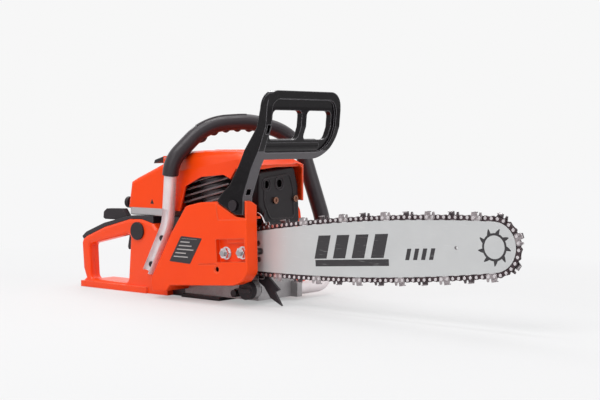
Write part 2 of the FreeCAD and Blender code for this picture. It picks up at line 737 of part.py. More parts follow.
def clutch_cover():
    """The moulded cover over clutch and bar end, with the recess for the bar nuts."""
    body = new_body("clutch_cover")
    face, wall = s.cover_face, s.cover_wall
    inner_face = s.engine_right - s.fit_gap
    low = -s.cover_bottom
    front = s.cover_front
    corners = [(-1.9, 66), (-33.4, 30), (-79.6, -34), (-78.2, -51.5), (-50, -51.5),
               (-42, low), (front - 28, low), (front - 12, -39), (front, -27), (front + 3.2, 46),
               (front + 4.6, 67), (front + 1.6, 69), (front + 0.1, 46), (91, 48), (62, 64.5),
               (56, 68.5), (26, 70)]
    pad(body, "XZ", corners, face, inner_face)
    long_corners = [(-33.4, 30), (-79.6, -34), (-78.2, -51.5), (-50, -51.5)]
    soften(body, runs_along("y", long_corners), 4)
    soften(body, runs_along("y", [(-1.9, 66), (26, 70), (front - 12, -39), (front, -27)]), 10)
    soften(body, lies_on("y", face), 1.4)
    inner = [(0, 62.5), (-30, 28.5), (-75, -34), (-44, low + 8), (-38, low + wall),
             (front - 29, low + wall), (front - 13, -36), (front - wall, -25),
             (front + 0.5, 43), (90, 45), (60, 61), (54, 65), (26, 67)]
    pocket(body, "XZ", inner, face + wall, inner_face)
    throat = [(45, -60), (front + 6, -60), (front + 6, 43), (45, 43)]
    pocket(body, "XZ", throat, s.throat_right, inner_face)
    pillar_room = [(front - 6, 30), (front + 6, 30), (front + 6, 75), (front - 6, 75)]
    pocket(body, "XZ", pillar_room, s.throat_right, inner_face)
    well = box((49, front - 1), (face + 1, s.recess_floor + wall), (-14.5, 21.5))
    seat = box((49, front - 7), (s.recess_floor, -12), (-14.5, 21.5))
    pad_block = box((49, front - 14), (-12, -s.bar_thick / 2), (-14.5, 21.5))
    nut_recess = box((51.5, front - wall), (face - 1, s.recess_floor), (-12, 19))
    ear = box((front - 32, front - 9), (face + s.lever_width + 1, face + s.lever_width + 5),
              (46, 75))
    ear_bore = cylinder(s.pivot_radius, 30, s.lever_x, face + s.lever_width - 10,
                        s.lever_z)
    stud_bores = [cylinder(s.stud_radius + s.running_gap, 40, s.stud_reach + shift, face)
                  for shift in (0, s.stud_spacing)]
    access = cylinder(3.4, 8, 50.5, face - 1, -21.5)
    access_rim = cylinder(5, 1.8, 50.5, face - 1, -21.5)
    lever_step = pocket_block([(54.5, 76), (57, 49), (58, 45), (front + 9, 44), (front + 9, 76)],
                              face - 1, face + s.cover_step)
    lip = box((17, 50), (face - 1, face + s.cover_step), (-15.2, -13.8))
    step = box((69.5, front - wall), (face + 3.5, s.recess_floor + 0.5), (13.3, 20))
    shell = cut(fuse(body, well, seat, pad_block, ear), nut_recess, access, access_rim,
                lever_step, lip, *stud_bores)
    shell = fuse(shell, step)
    on_bar_line(shell)
    tank_room = box((-90, s.engine_rear - s.fit_gap), (s.grip_right - s.fit_gap, inner_face + 1),
                    (0, 60))
    shield_room = box((s.muffler_rear + 4, front + 6), (s.shroud_right + 3, inner_face + 1),
                      (s.muffler_low - 12, 160))
    slant = new_body("cover_slant")
    pad(slant, "YZ", [(face + 5, 146), (inner_face + 3, 146), (inner_face + 3, 122)],
        front - 8, front + 10)
    return node(cut(shell, ear_bore, tank_room, shield_room, slant), "clutch_cover")


def pocket_block(corners, low, high):
    """A loose block through corners in the bar's frame, to be cut from a cover's face."""
    body = new_body("pocket_block")
    pad(body, "XZ", corners, low, high)
    return body


def bar_studs():
    """Two studs in the crankcase that carry the bar and the clutch cover."""
    length = s.engine_right - s.recess_floor + 10 + 7
    studs = [cylinder(s.stud_radius, length, s.stud_reach + shift, s.recess_floor - 10)
             for shift in (0, s.stud_spacing)]
    return node(on_bar_line(group(*studs)), "bar_studs")


def bar_nuts():
    """Flanged nuts on the studs, seated on the floor of the recess."""
    nuts = []
    for shift in (0, s.stud_spacing):
        x = s.stud_reach + shift
        hexagon = prism(6, s.nut_radius, s.nut_thick, x, s.recess_floor - s.nut_thick)
        flange = cylinder(s.nut_radius + 1.2, 1.6, x, s.recess_floor - 1.6)
        bore = cylinder(s.stud_radius, s.nut_thick, x, s.recess_floor - s.nut_thick)
        nuts.append(cut(fuse(hexagon, flange), bore))
    return node(on_bar_line(group(*nuts)), "bar_nuts")


# Crankcase, crankshaft, cylinder and what is bolted to them.


def crankcase():
    """The die-cast housing round the crankshaft, with the oil tank and the bar's pad."""
    y = (s.engine_right, s.engine_left)
    chamber = cylinder(s.case_radius, y[1] - y[0], 0, y[0], s.crank_height)
    lower = box((s.engine_rear, s.engine_front), y, (s.case_bottom, s.crank_height))
    nose = box((30, s.engine_front), y, (s.crank_height, s.muffler_low - 10))
    deck = lean(box((-38, 44), (s.engine_middle - 36, s.engine_middle + 36),
                    (20, s.deck_height)), s.cylinder_tilt, z=s.crank_height)
    pad_block = on_bar_line(box((52, 104), (s.bar_thick / 2, s.engine_right + 0.2), (-17, 17)))
    stud_boss = on_bar_line(box((80, 99.5), (s.bar_thick / 2, s.engine_right + 9), (-6, 6)))
    handle_lug = box((74, 100), (s.engine_left - 10, s.engine_left), (s.case_bottom, 27))
    oil_neck = cylinder(s.cap_radius, 9, 80, s.engine_right - 8, 20)
    shaft_bore = cylinder(s.bearing_radius, y[1] - y[0], 0, y[0], s.crank_height)
    cavity = cylinder(s.case_radius - 10, y[1] - y[0] - 36, 0, y[0] + 18, s.crank_height)
    barrel_bore = lean(cylinder(s.barrel_radius - 7, 60, 0, s.engine_middle, 0, UPRIGHT),
                       s.cylinder_tilt, z=s.crank_height)
    stud_bores = [on_bar_line(cylinder(s.stud_radius, 14, s.stud_reach + shift, -1))
                  for shift in (0, s.stud_spacing)]
    neck_bore = cylinder(9, 15, 80, s.engine_right - 8, 20)
    solid = fuse(chamber, lower, nose, deck, pad_block, stud_boss, handle_lug, oil_neck)
    return node(cut(solid, shaft_bore, cavity, barrel_bore, neck_bore, *stud_bores), "crankcase")


def main_bearings():
    """Two ball bearings that carry the crankshaft in the crankcase."""
    places = (s.engine_right + 3, s.engine_left - 3 - s.bearing_width)
    rings = [tube(s.bearing_radius, s.journal_radius + s.running_gap, s.bearing_width, 0, y,
                  s.crank_height) for y in places]
    return node(group(*rings), "main_bearings")


def crankshaft():
    """The shaft from the clutch through both bearings to the flywheel, with its two webs."""
    left_end = s.engine_left + 18.5
    journal = cylinder(s.journal_radius, s.engine_left - s.engine_right, 0, s.engine_right,
                       s.crank_height)
    ends = cylinder(s.shaft_radius, left_end - s.shaft_right_end, 0, s.shaft_right_end,
                    s.crank_height)
    webs = [cylinder(30, 9, 0, s.engine_middle + y, s.crank_height) for y in (-17, 8)]
    return node(fuse(journal, ends, *webs), "crankshaft")


def cylinder_block():
    """The finned barrel on the crankcase, leaning back, with ports to muffler and carburettor."""
    foot = s.deck_height
    barrel = cylinder(s.barrel_radius, s.barrel_height, 0, s.engine_middle, foot, UPRIGHT)
    flange = box((-36, 42), (s.engine_middle - 34, s.engine_middle + 34), (foot, foot + 5))
    fins = []
    for index in range(int(float(s.fin_count))):
        low = foot + 10 + index * s.fin_pitch
        half = s.fin_width / 2
        fins.append(box((52 - s.fin_length, 52),
                        (s.engine_middle - half, s.engine_middle + half),
                        (low, low + s.fin_thick)))
    exhaust = cylinder(13, 70, 0, s.engine_middle, foot + 26, TO_FRONT)
    intake = cylinder(s.intake_radius, 52, 0, s.engine_middle, foot + s.intake_height, TO_REAR)
    raw = lean(fuse(barrel, flange, exhaust, intake, *fins), s.cylinder_tilt, z=s.crank_height)
    front = box((s.muffler_rear, s.muffler_rear + 60), (-20, 120), (60, 260))
    return node(cut(raw, front), "cylinder")


def spark_plug():
    top = s.deck_height + s.barrel_height
    base = cylinder(7, 6, 0, s.engine_middle, top, UPRIGHT)
    hexagon = prism(6, 9.5, 8, 0, s.engine_middle, top + 6, UPRIGHT)
    return node(lean(fuse(base, hexagon), s.cylinder_tilt, z=s.crank_height), "spark_plug")


def plug_cap():
    """The rubber cap over the plug, with its elbow to the rear."""
    top = s.deck_height + s.barrel_height + 14
    cap = cylinder(8, 7, 0, s.engine_middle, top, UPRIGHT)
    elbow = cylinder(3, 24, 0, s.engine_middle, top + 3.5, TO_REAR)
    return node(lean(fuse(cap, elbow), s.cylinder_tilt, z=s.crank_height), "plug_cap")


def muffler():
    """A pressed steel box on the cylinder's front, with two outlets."""
    body = new_body("muffler")
    middle = s.engine_middle
    sides = [(middle - 31, s.muffler_low), (middle + 30, s.muffler_low),
             (middle + 30, s.muffler_high), (middle - 31, s.muffler_high)]
    pad(body, "YZ", sides, s.muffler_rear, s.muffler_front)
    soften(body, runs_along("x", sides), 8)
    soften(body, lies_on("x", s.muffler_front), 4)
    return node(body, "muffler")


SHIELD_HOLES = ((17, 163), (44, 164))
SHIELD_SCREWS = ((34, 141), (76, 142))


def muffler_guard():
    """The black shield round the muffler, with two holes in front of the outlets."""
    body = new_body("muffler_guard")
    near, far = s.shroud_right + 4, s.engine_middle + 43
    low, high = s.muffler_low - 9, s.muffler_high + 7
    corners = [(near, low + 26), (near + 16, low), (far, low), (far - 3, high - 22),
               (far - 12, high + 6), (near, high)]
    rear = s.muffler_rear + 6
    pad(body, "YZ", corners, rear, s.shield_front)
    soften(body, runs_along("x", corners), 7)
    soften(body, lies_on("x", s.shield_front), 4)
    wall = s.shield_thick
    inside = [(near + wall, low + 26), (near + 17, low + wall), (far - wall, low + wall),
              (far - 3 - wall, high - 22), (far - 13, high + 5 - wall), (near + wall, high - wall)]
    pocket(body, "YZ", inside, rear, s.shield_front - wall)
    holes = [cylinder(5.5, 20, s.shield_front - 10, y, z, TO_FRONT) for y, z in SHIELD_HOLES]
    seats = [cylinder(2.5, 20, s.shield_front - 10, y, z, TO_FRONT) for y, z in SHIELD_SCREWS]
    starter_room = box((rear - 1, 77), (s.engine_left - s.fit_gap, far + 1), (90, 160))
    return node(cut(body, starter_room, *holes, *seats), "muffler_guard")


def shield_screws():
    """Screws through the shield into the muffler."""
    screws = []
    for y, z in SHIELD_SCREWS:
        shank = cylinder(2.5, s.shield_front - s.muffler_front, s.muffler_front, y, z, TO_FRONT)
        head = cylinder(4.6, 3, s.shield_front, y, z, TO_FRONT)
        hexagon = prism(6, 2.4, 2.5, s.shield_front + 1.5, y, z, TO_FRONT)
        screws.append(cut(fuse(shank, head), hexagon))
    return node(group(*screws), "shield_screws")


def top_cover():
    """The orange cover over the cylinder: a shell open below, in front and at its fins."""
    body = new_body("top_cover")
    rear, front, top = s.shroud_rear, s.shroud_front, s.shroud_top
    right, left, wall = s.shroud_right, s.shroud_left, s.shell_wall
    low = s.airbox_split - 2
    corners = [(rear, low), (rear, top - 13), (rear + 34, top - 2), (rear + 70, top),
               (front - 46, top - 1), (front, top - 19), (front, low)]
    pad(body, "XZ", corners, right, left)
    roof = [(rear, top - 13), (rear + 34, top - 2), (rear + 70, top), (front - 46, top - 1)]
    soften(body, runs_along("y", roof[1:]), 16)
    on_side = [lies_on("y", right), lies_on("y", left)]
    soften(body, lambda e: (on_side[0](e) or on_side[1](e)) and e.BoundBox.ZMax > top_edge(), 9)
    inside = [(rear + wall, low - 1), (rear + wall, top - 16), (rear + 35, top - 2 - wall),
              (rear + 70, top - wall - 0.5), (front - 46, top - wall - 2), (front - wall, top - 23),
              (front - wall, low - 1)]
    pocket(body, "XZ", inside, right + wall, left - wall)
    fins = [(rear + 24, low - 1), (rear + 36, 158), (-13, 171.5), (31, 175.5), (44, 170),
            (54, 184), (front + 1, 184), (front + 1, low - 1)]
    pocket(body, "XZ", fins, right - 1, right + wall)
    mouth = [(right - 1, low - 1), (left - wall - 5, low - 1), (left - wall - 5, 184),
             (left - 16, 191), (right + 2, 184), (right - 1, 184)]
    pocket(body, "YZ", mouth, front - wall - 1, front + 1)
    side = [(rear - 1, low - 1), (front + 1, low - 1), (front + 1, 139), (82, 139), (82, 143.4),
            (rear - 1, 143.4)]
    pocket(body, "XZ", side, s.engine_left - s.fit_gap, left + 1)
    intake = cylinder(16, 20, rear - 5, s.engine_middle, 140, TO_FRONT)
    return node(cut(body, intake), "top_cover")


def top_edge():
    """Edges of the cover above this height belong to its rounded roof."""
    return float(s.airbox_split) + 20


def airbox_base():
    """The grey tray under the air filter, bolted to the carburettor."""
    body = new_body("airbox_base")
    corners = [(s.airbox_rear, s.airbox_right), (s.shroud_rear - 1, s.airbox_right),
               (s.shroud_rear - 1, s.airbox_left), (s.airbox_rear, s.airbox_left)]
    pad(body, "XY", corners, s.airbox_low, s.airbox_split)
    soften(body, runs_along("z", [corners[0], corners[3]]), 12)
    soften(body, lies_on("z", s.airbox_low), 2.5)
    return node(body, "airbox_base")


def air_filter_cover():
    """The orange cover of the air box: a shell on the tray, open at its front."""
    body = new_body("air_filter_cover")
    rear, front = s.airbox_rear, s.shroud_rear - 1
    right, left, wall = s.airbox_right, s.airbox_left, s.shell_wall
    low, high = s.airbox_split, s.shroud_top - 15
    corners = [(rear, low), (rear + 7, low + 38), (rear + 20, low + 44), (front, high),
               (front, low)]
    pad(body, "XZ", corners, right, left)
    sides = [lies_on("y", right), lies_on("y", left)]
    soften(body, lambda e: (sides[0](e) or sides[1](e)) and e.BoundBox.ZMax > float(low) + 1
           and e.BoundBox.XMin < float(front) - 1, 7)
    inside = [(rear + wall, low), (rear + 7 + wall, low + 36), (rear + 21, low + 41),
              (front, high - wall - 0.5), (front, low)]
    pocket(body, "XZ", inside, right + wall, left - wall)
    knob_bore = cylinder(3.5, 30, rear - 5, 17.5, low + 6, TO_FRONT)
    lugs = [box((s.latch_x - 3, s.latch_x + 3), sides, (s.latch_z - 8, s.latch_z + 3))
            for sides in latch_lugs()]
    pin_bore = cylinder(s.latch_pin_radius, 40, s.latch_x, right - 5, s.latch_z)
    return node(cut(fuse(body, *lugs), knob_bore, pin_bore), "air_filter_cover")


def latch_lugs():
    """The (low, high) Y of the two lugs that hold the filter latch's pin."""
    return ((s.latch_right - s.fit_gap - 2, s.latch_right - s.fit_gap),
            (s.latch_left + s.fit_gap, s.latch_left + s.fit_gap + 2))


def latch_pin():
    first, last = latch_lugs()
    return node(cylinder(s.latch_pin_radius, last[1] - first[0], s.latch_x, first[0], s.latch_z),
                "latch_pin")


def air_filter():
    """The pleated element that stands on the tray."""
    body = new_body("air_filter")
    corners = [(s.airbox_rear + 14, 30), (s.airbox_rear + 50, 30),
               (s.airbox_rear + 50, s.airbox_left - 12), (s.airbox_rear + 14, s.airbox_left - 12)]
    pad(body, "XY", corners, s.airbox_split, s.airbox_split + 30)
    soften(body, runs_along("z", corners), 8)
    return node(body, "air_filter")


def airbox_seal():
    """The black rubber block that closes the space between the fuel tank and the tray."""
    edge = s.grip_left + s.fit_gap
    rear = box((s.post_front + 1, -66), (edge, 80), (s.tank_top, s.airbox_low))
    front = box((s.post_front + 20.3, -66), (8, edge), (s.tank_top, s.airbox_low))
    return node(fuse(rear, front), "airbox_seal")


def carburettor():
    """A cast block with a throttle bore, on the tray behind the cylinder's intake."""
    middle = s.engine_middle
    rear = s.airbox_rear + 54
    block = box((rear, rear + 26), (middle - 17, middle + 17),
                (s.airbox_split, s.airbox_split + 34))
    lid = box((rear + 3, rear + 23), (middle - 14, middle + 14),
              (s.airbox_split + 34, s.airbox_split + 38))
    bore = cylinder(8, 30, rear - 2, middle, 140, TO_FRONT)
    return node(cut(fuse(block, lid), bore), "carburettor")


def intake_boot():
    """The rubber sleeve from the carburettor to the cylinder's intake."""
    start = s.airbox_rear + 80
    boot = tube(14, 9, 21, start, s.engine_middle, 140, TO_FRONT)
    port = lean(cylinder(s.intake_radius, 60, 0, s.engine_middle,
                         s.deck_height + s.intake_height, TO_REAR),
                s.cylinder_tilt, z=s.crank_height)
    return node(cut(boot, port), "intake_boot")


def filter_latch():
    """The black lever on top of the air filter's cover that holds it down."""
    body = new_body("filter_latch")
    high = s.shroud_top - 15
    corners = [(-112, high - 5), (-110, high), (-90, high + 6), (-84, high + 5),
               (-84, high - 1.2), (-93, high - 4.7), (-95, high), (-108, high - 4)]
    pad(body, "XZ", corners, s.latch_right, s.latch_left)
    soften(body, runs_along("y", [corners[1], corners[2]]), 2)
    bore = cylinder(s.latch_pin_radius + s.running_gap, 30, s.latch_x, s.latch_right - 5,
                    s.latch_z)
    return node(cut(body, bore), "filter_latch")


def choke_knob():
    """A mushroom knob on a rod that leaves the air box at its rear."""
    z = s.airbox_split + 6
    rod = cylinder(3.5 - s.running_gap, 32, s.airbox_rear + 16, 17.5, z, TO_REAR)
    disk = cylinder(8.5, 6, s.airbox_rear - 10, 17.5, z, TO_REAR)
    rim = cone(8.5, 6.5, 2, s.airbox_rear - 16, 17.5, z, TO_REAR)
    return node(fuse(rod, disk, rim), "choke_knob")


# Rear handle with the fuel tank, its two levers and its caps.


def lever_slot(x, z):
    """The room that the trigger or the lockout needs inside the handle."""
    return box(x, (s.lever_slot_right, s.lever_slot_left), z)


def pins():
    """Rods on the axes of the trigger and the lockout, inside the handle's two cheeks."""
    return [cylinder(s.pin_radius, s.grip_left - s.grip_right - 2, x, s.grip_right + 1, z)
            for x, z in ((s.trigger_x, s.trigger_z), (s.lockout_x, s.lockout_z))]


def handle_back():
    """The line of the handle's back, where the soft pad lies on it."""
    rear, front = s.handle_rear, s.post_front
    return [(rear + 2, 72), (rear + 10, 77), (rear + 50, 92.5), (rear + 105, 106.5),
            (front - 14, 107.5), (front + 10, 102)]


def rear_handle():
    """One moulding: the grip's loop, the base plate and the hollow fuel tank."""
    body = new_body("rear_handle")
    rear, front = s.handle_rear, s.post_front
    outer = [(rear + 2, 0), (rear + 2, 9), (rear + 9, 14), (rear + 3, 28), (rear, 66)]
    outer += handle_back() + [(front + 20, s.tank_top), (front + 20, 0)]
    pad(body, "XZ", outer, s.grip_right, s.grip_left)
    window = [(rear + 20, 12), (front - 42, 12), (front - 36, 85.5), (rear + 17, 65)]
    pocket(body, "XZ", window, s.grip_right - 1, s.grip_left + 1)
    soften(body, runs_along("y", window[:2]), 9)
    soften(body, runs_along("y", window[2:]), 6)
    soften(body, runs_along("y", outer[4:6]), 5)
    faces = (lies_on("y", s.grip_right), lies_on("y", s.grip_left))
    soften(body, lambda e: (faces[0](e) or faces[1](e)) and e.BoundBox.ZMax > 12.5
           and e.BoundBox.XMin < float(front) + 15, 5)
    base = box((rear + 2, front + 1), (s.grip_right - 3, s.grip_left + 41), (0, 9))
    tank = box((front - 1, s.tank_front), (s.grip_right, s.tank_left), (0, s.tank_top))
    wall = s.tank_wall
    hollow = box((front + 6, s.tank_front - wall), (s.grip_right + wall + 9, s.tank_left - wall),
                 (22, s.tank_top - wall))
    filler = cylinder(s.fuel_cap_radius - 6, 20, s.fuel_cap_x, s.tank_left - 10, s.fuel_cap_z)
    foot_room = box((s.foot_rear, s.tank_front + 1), (s.grip_right - 4, 64), (-1, 14))
    trigger_room = lever_slot((-182, -142), (56, 104))
    lockout_room = lever_slot((-226, -160), (88, 124))
    pin_bores = pins()
    switch_slot = box((s.switch_x - 7.5, s.switch_x + 5.5), (s.grip_left - 5, s.grip_left + 1),
                      (s.switch_z - 2, s.switch_z + 2))
    screw_bores = [cylinder(s.handle_screw_radius, 9, x, s.grip_right - 1, z)
                   for x, z in HANDLE_SCREWS]
    solid = cut(fuse(body, base, tank), hollow, filler, foot_room, trigger_room, lockout_room,
                switch_slot, *pin_bores, *screw_bores)
    return node(solid, "rear_handle")


def grip_pad():
    """The soft black strip on the rear handle's back."""
    body = new_body("grip_pad")
    rear = s.handle_rear
    upper = [(s.post_front + 10, s.airbox_low - s.fit_gap), (rear + 105, 111.5), (rear + 49, 98.5),
             (rear + 8, 83), (rear - 1, 76)]
    pad(body, "XZ", handle_back() + upper, s.grip_right + 3, s.grip_left - 3)
    soften(body, runs_along("y", upper[3:4]), 3)
    return node(cut(body, lever_slot((-226, -160), (70, 124))), "grip_pad")


def throttle_trigger():
    """The finger lever under the grip, with its hub on a pin."""
    body = new_body("throttle_trigger")
    x, z = s.trigger_x, s.trigger_z
    corners = [(x - 4, z + 4), (x + 5, z + 4), (x + 7, z - 6), (x - 1, z - 16), (x - 5, z - 34),
               (x - 11, z - 35), (x - 12, z - 30), (x - 9, z - 16), (x - 7, z - 5)]
    right, left = s.lever_slot_right + 1, s.lever_slot_left - 1
    pad(body, "XZ", corners, right, left)
    soften(body, runs_along("y", corners[4:6]), 2.5)
    bore = cylinder(s.pin_radius + s.running_gap, 30, x, s.lever_slot_right - 7, z)
    return node(cut(body, bore), "throttle_trigger")


def throttle_lockout():
    """The lever on the grip's back that the palm presses before the trigger moves."""
    body = new_body("throttle_lockout")
    x, z = s.lockout_x, s.lockout_z
    corners = [(x + 5, z - 5), (x + 6, z + 4), (x + 2, z + 12.5), (x - 6, z + 22),
               (x - 40, z + 21), (x - 47, z + 16), (x - 48, z + 7), (x - 44, z + 5),
               (x - 16, z + 5), (x - 6, z - 5)]
    right, left = s.lever_slot_right + 1, s.lever_slot_left - 1
    pad(body, "XZ", corners, right, left)
    soften(body, runs_along("y", corners[3:6]), 3)
    bore = cylinder(s.pin_radius + s.running_gap, 30, x, s.lever_slot_right - 7, z)
    return node(cut(body, bore), "throttle_lockout")


def lever_pins():
    """The two steel pins that the trigger and the lockout turn on."""
    return node(group(*pins()), "lever_pins")


def screw_cap(radius, depth, neck, x, y, z, turn, label):
    """A round cap with a grip bar across it and a plug that fits its neck."""
    disk = cylinder(radius, depth, x, y, z, turn)
    outward = -1 if turn is TO_RIGHT else 1
    lip = (y - depth - 2.5, y - depth) if outward < 0 else (y + depth, y + depth + 2.5)
    bar = box((x - radius + 2, x + radius - 2), lip, (z - 3, z + 3))
    plug_start = y if outward < 0 else y - 6
    plug = cylinder(neck - s.running_gap * 4, 6, x, plug_start, z)
    return node(fuse(disk, bar, plug), label)


def oil_cap():
    y = s.engine_right - 8
    return screw_cap(s.cap_radius, 10, 9, 80, y, 20, TO_RIGHT, "oil_cap")


def fuel_cap():
    return screw_cap(s.fuel_cap_radius, 8, s.fuel_cap_radius - 6, s.fuel_cap_x, s.tank_left,
                     s.fuel_cap_z, TO_LEFT, "fuel_cap")


def ignition_switch():
    """The stop switch on the left face of the handle's post; its stem slides in a slot."""
    body = new_body("ignition_switch")
    x, z = s.switch_x, s.switch_z
    corners = [(x - 11, z - 5), (x + 7, z - 5), (x + 7, z + 5), (x - 11, z + 5)]
    pad(body, "XZ", corners, s.grip_left + s.fit_gap, s.grip_left + 7)
    soften(body, runs_along("y", corners), 2)
    soften(body, lies_on("y", s.grip_left + 7), 1.5)
    stem = box((x - 7, x - 1), (s.grip_left - 4, s.grip_left + 1),
               (z - 2 + s.running_gap, z + 2 - s.running_gap))
    return node(fuse(body, stem), "ignition_switch")


def mount_caps():
    """Round black caps that close the bores of the rear vibration mounts."""
    caps = [cylinder(13, 3, -138, s.grip_right - 3, 90)]
    return node(group(*caps), "mount_caps")


def vibration_mounts():
    """Rubber blocks between the fuel tank and the crankcase."""
    length = s.engine_rear - s.tank_front
    blocks = [cylinder(9, length, s.tank_front, y, z, TO_FRONT)
              for y, z in ((24, 32), (66, 32), (66, 54))]
    return node(group(*blocks), "vibration_mounts")


def base_foot():
    """The rubber foot that the saw stands on in front."""
    heel = box((s.foot_rear, s.engine_rear), (s.engine_right + s.fit_gap, 60), (0, 14))
    sole = box((s.engine_rear, 22), (-2, 60), (0, s.foot_thick))
    return node(fuse(heel, sole), "base_foot")


# Front handle: one bent tube from the right side over the cylinder down to the left side.


def rounded_path(points, radii):
    """Straight runs through the points, joined by tangent arcs of the given radii."""
    edges = []
    start = points[0]
    for before, corner, after, radius in zip(points, points[1:], points[2:], radii):
        arriving = (corner - before).normalize()
        leaving = (after - corner).normalize()
        turn = arriving.getAngle(leaving)
        back = radius * math.tan(turn / 2)
        first, last = corner - arriving * back, corner + leaving * back
        inward = (leaving - arriving).normalize()
        middle = corner + inward * (radius / math.cos(turn / 2) - radius)
        edges.append(Part.makeLine(start, first))
        edges.append(Part.Arc(first, middle, last).toShape())
        start = last
    edges.append(Part.makeLine(start, points[-1]))
    return edges


HANDLE_SCREWS = ((-101, 44.5), (-79, 83))


def handle_edges():
    """The tube's centre line, which crosses the saw from right rear to left front."""
    right = float(s.grip_right) - float(s.tube_radius) + 0.7
    foot = Vector(-51.2, -22.9, 0)
    across = (Vector(79, 154, 0) - foot).normalize()
    hoop = [foot + across * reach + Vector(0, 0, height) for reach, height in
            ((1, 194), (51, 245.5), (114, 249.5), (163, 235), (190, 208), (219.4, 112))]
    points = [Vector(-107, right, 34), Vector(-67, right, 104)] + hoop
    points += [Vector(88, 158, 15), Vector(88, float(s.engine_left), 15)]
    return rounded_path(points, (70, 45, 78, 100, 70, 60, 90, 26))


def start_of(edges):
    return edges[0].Vertexes[0].Point


def swept(edges, radius):
    """A round bar along tangent edges."""
    spine = Part.Wire(edges)
    start = start_of(edges)
    direction = edges[0].tangentAt(edges[0].FirstParameter)
    ring = Part.Wire(Part.makeCircle(radius, start, direction))
    return spine.makePipeShell([ring], True, False)


def front_handle():
    """The bare tube; its rubber sleeve lies on the stretch that the hand holds."""
    edges = handle_edges()
    radius, sleeve = float(s.tube_radius), float(s.sleeve_radius)
    bar = swept(edges, radius)
    cutoff = 174
    covered = []
    for edge in edges:
        first, last = (edge.valueAt(p) for p in (edge.FirstParameter, edge.LastParameter))
        if first.z < cutoff < last.z:
            share = (cutoff - first.z) / (last.z - first.z)
            split = first + (last - first) * share
            covered.append(Part.makeLine(split, last))
        elif covered and last.z > 60:
            covered.append(edge)
    grip = swept(covered, sleeve).cut(bar)
    seat = box((-125, -60), (s.grip_right, 1), (20, 110))
    floor = s.grip_right - s.channel_floor
    lower = edges[:2] + [Part.makeLine(edges[2].Vertexes[0].Point,
                                       edges[2].valueAt(edges[2].FirstParameter + 10))]
    channel = swept(lower, radius * 2 / 3)
    channel.translate(Vector(0, float(floor) - start_of(edges).y - radius * 2 / 3, 0))
    screws, holes = [], []
    for x, z in HANDLE_SCREWS:
        shank = cylinder(s.handle_screw_radius, s.channel_floor + 8, x, floor, z)
        screws.append(fuse(shank, cylinder(4, 2, x, floor - 2, z)))
        holes.append(cylinder(s.handle_screw_radius, s.channel_floor + 9, x, floor - 1, z))
        holes.append(cylinder(4, radius, x, floor - radius, z))
    tube_feature = shape_feature("front_handle_tube", bar.cut(channel))
    node(cut(tube_feature, seat, *holes), "front_handle_tube")
    node(shape_feature("front_handle_grip", grip), "front_handle_grip")
    return node(group(*screws), "handle_screws")


# Brake lever with its hand guard, bumper spikes and the small parts in front.


GUARD_WINDOWS = ((-22, 38), (48, 100))


GUARD_BEND = ((31, 48), (46, 75.5), (57.5, 105), (60, 131), (65.5, 156))


def guard_layer(ahead, behind, across, upright, radii):
    """The room between two depths from the guard's bent face, inside a frame with round corners."""
    x, z = s.lever_x, s.lever_z
    layer = new_body("guard_layer")
    corners = [(x + u + ahead, z + v) for u, v in GUARD_BEND]
    corners += [(x + u - behind, z + v) for u, v in reversed(GUARD_BEND)]
    pad(layer, "XZ", corners, across[0], across[1])
    frame = new_body("guard_frame")
    sides = [(across[0], upright[0]), (across[1], upright[0]),
             (across[1], upright[1]), (across[0], upright[1])]
    pad(frame, "YZ", sides, x, x + 100)
    for corner, radius in zip(sides, radii):
        if radius:
            soften(frame, runs_along("x", [corner]), radius)
    return common(layer, frame)


def hand_guard():
    """The brake lever: an arm beside the bar, and a framed guard across the front handle.

    The guard bends like a shallow dish. Its front is a channel: a rim all round, and a rounded
    beam under the windows.
    """
    arm = new_body("guard_arm")
    x, z = s.lever_x, s.lever_z
    right, left = s.cover_face, s.guard_far
    corners = [(x + 3, z - 12.5), (x + 16, z - 12.5), (x + 17, z - 4), (x + 17, z + 11),
               (x + 20.5, z + 21), (x + 32, z + 50), (x + 46, z + 75.5), (x + 57.5, z + 105),
               (x + 60, z + 131), (x + 64, z + 149), (x + 56, z + 144), (x + 47.5, z + 131),
               (x + 41, z + 104), (x + 19, z + 74), (x + 9, z + 54), (x - 8, z + 27),
               (x - 20, z + 17.5), (x - 31.5, z + 4.5), (x - 26, z + 1)]
    pad(arm, "XZ", corners, right, right + s.lever_width)
    soften(arm, lies_on("y", right), 1.5)
    low = z + s.guard_low
    high = low + s.guard_height
    wide = s.guard_corner
    frame = guard_layer(0, s.guard_thick, (right, left), (low, high), (0, wide + 10, wide, 18))
    rooms = [guard_layer(1, s.guard_recess, (right + 11, left - 9), (low + 9, high - 11),
                         (6, wide, wide - 8, 14))]
    rooms += [guard_layer(20, 40, across, (s.window_low, s.window_high), (7, 7, 7, 7))
              for across in GUARD_WINDOWS]
    beam = cylinder(9, left - right - 44, x + 37.5, right + 12, z + 79.5)
    slots = [box((x + 47, x + 62), (right + 4, right + 14), (z + 95, z + 107)),
             box((x + 11, x + 30), (right + 4, right + 13), (z + 14, z + 22))]
    bore = cylinder(s.pivot_radius + s.running_gap, 60, x, right - 10, z)
    solid = fuse(cut(fuse(arm, frame), *rooms), beam)
    return node(cut(solid, bore, *slots), "hand_guard")


def guard_pivot():
    """The shoulder bolt that the brake lever turns on, held in the cover's ear."""
    face = s.cover_face
    shank = cylinder(s.pivot_radius, s.lever_width + 5, s.lever_x, face, s.lever_z)
    head = cylinder(7, 2.5, s.lever_x, face - 2.5 - s.fit_gap, s.lever_z)
    neck = cylinder(s.pivot_radius, s.fit_gap, s.lever_x, face - s.fit_gap, s.lever_z)
    return node(fuse(shank, head, neck), "guard_pivot")


BUMPER_SCREWS = (38, 56)


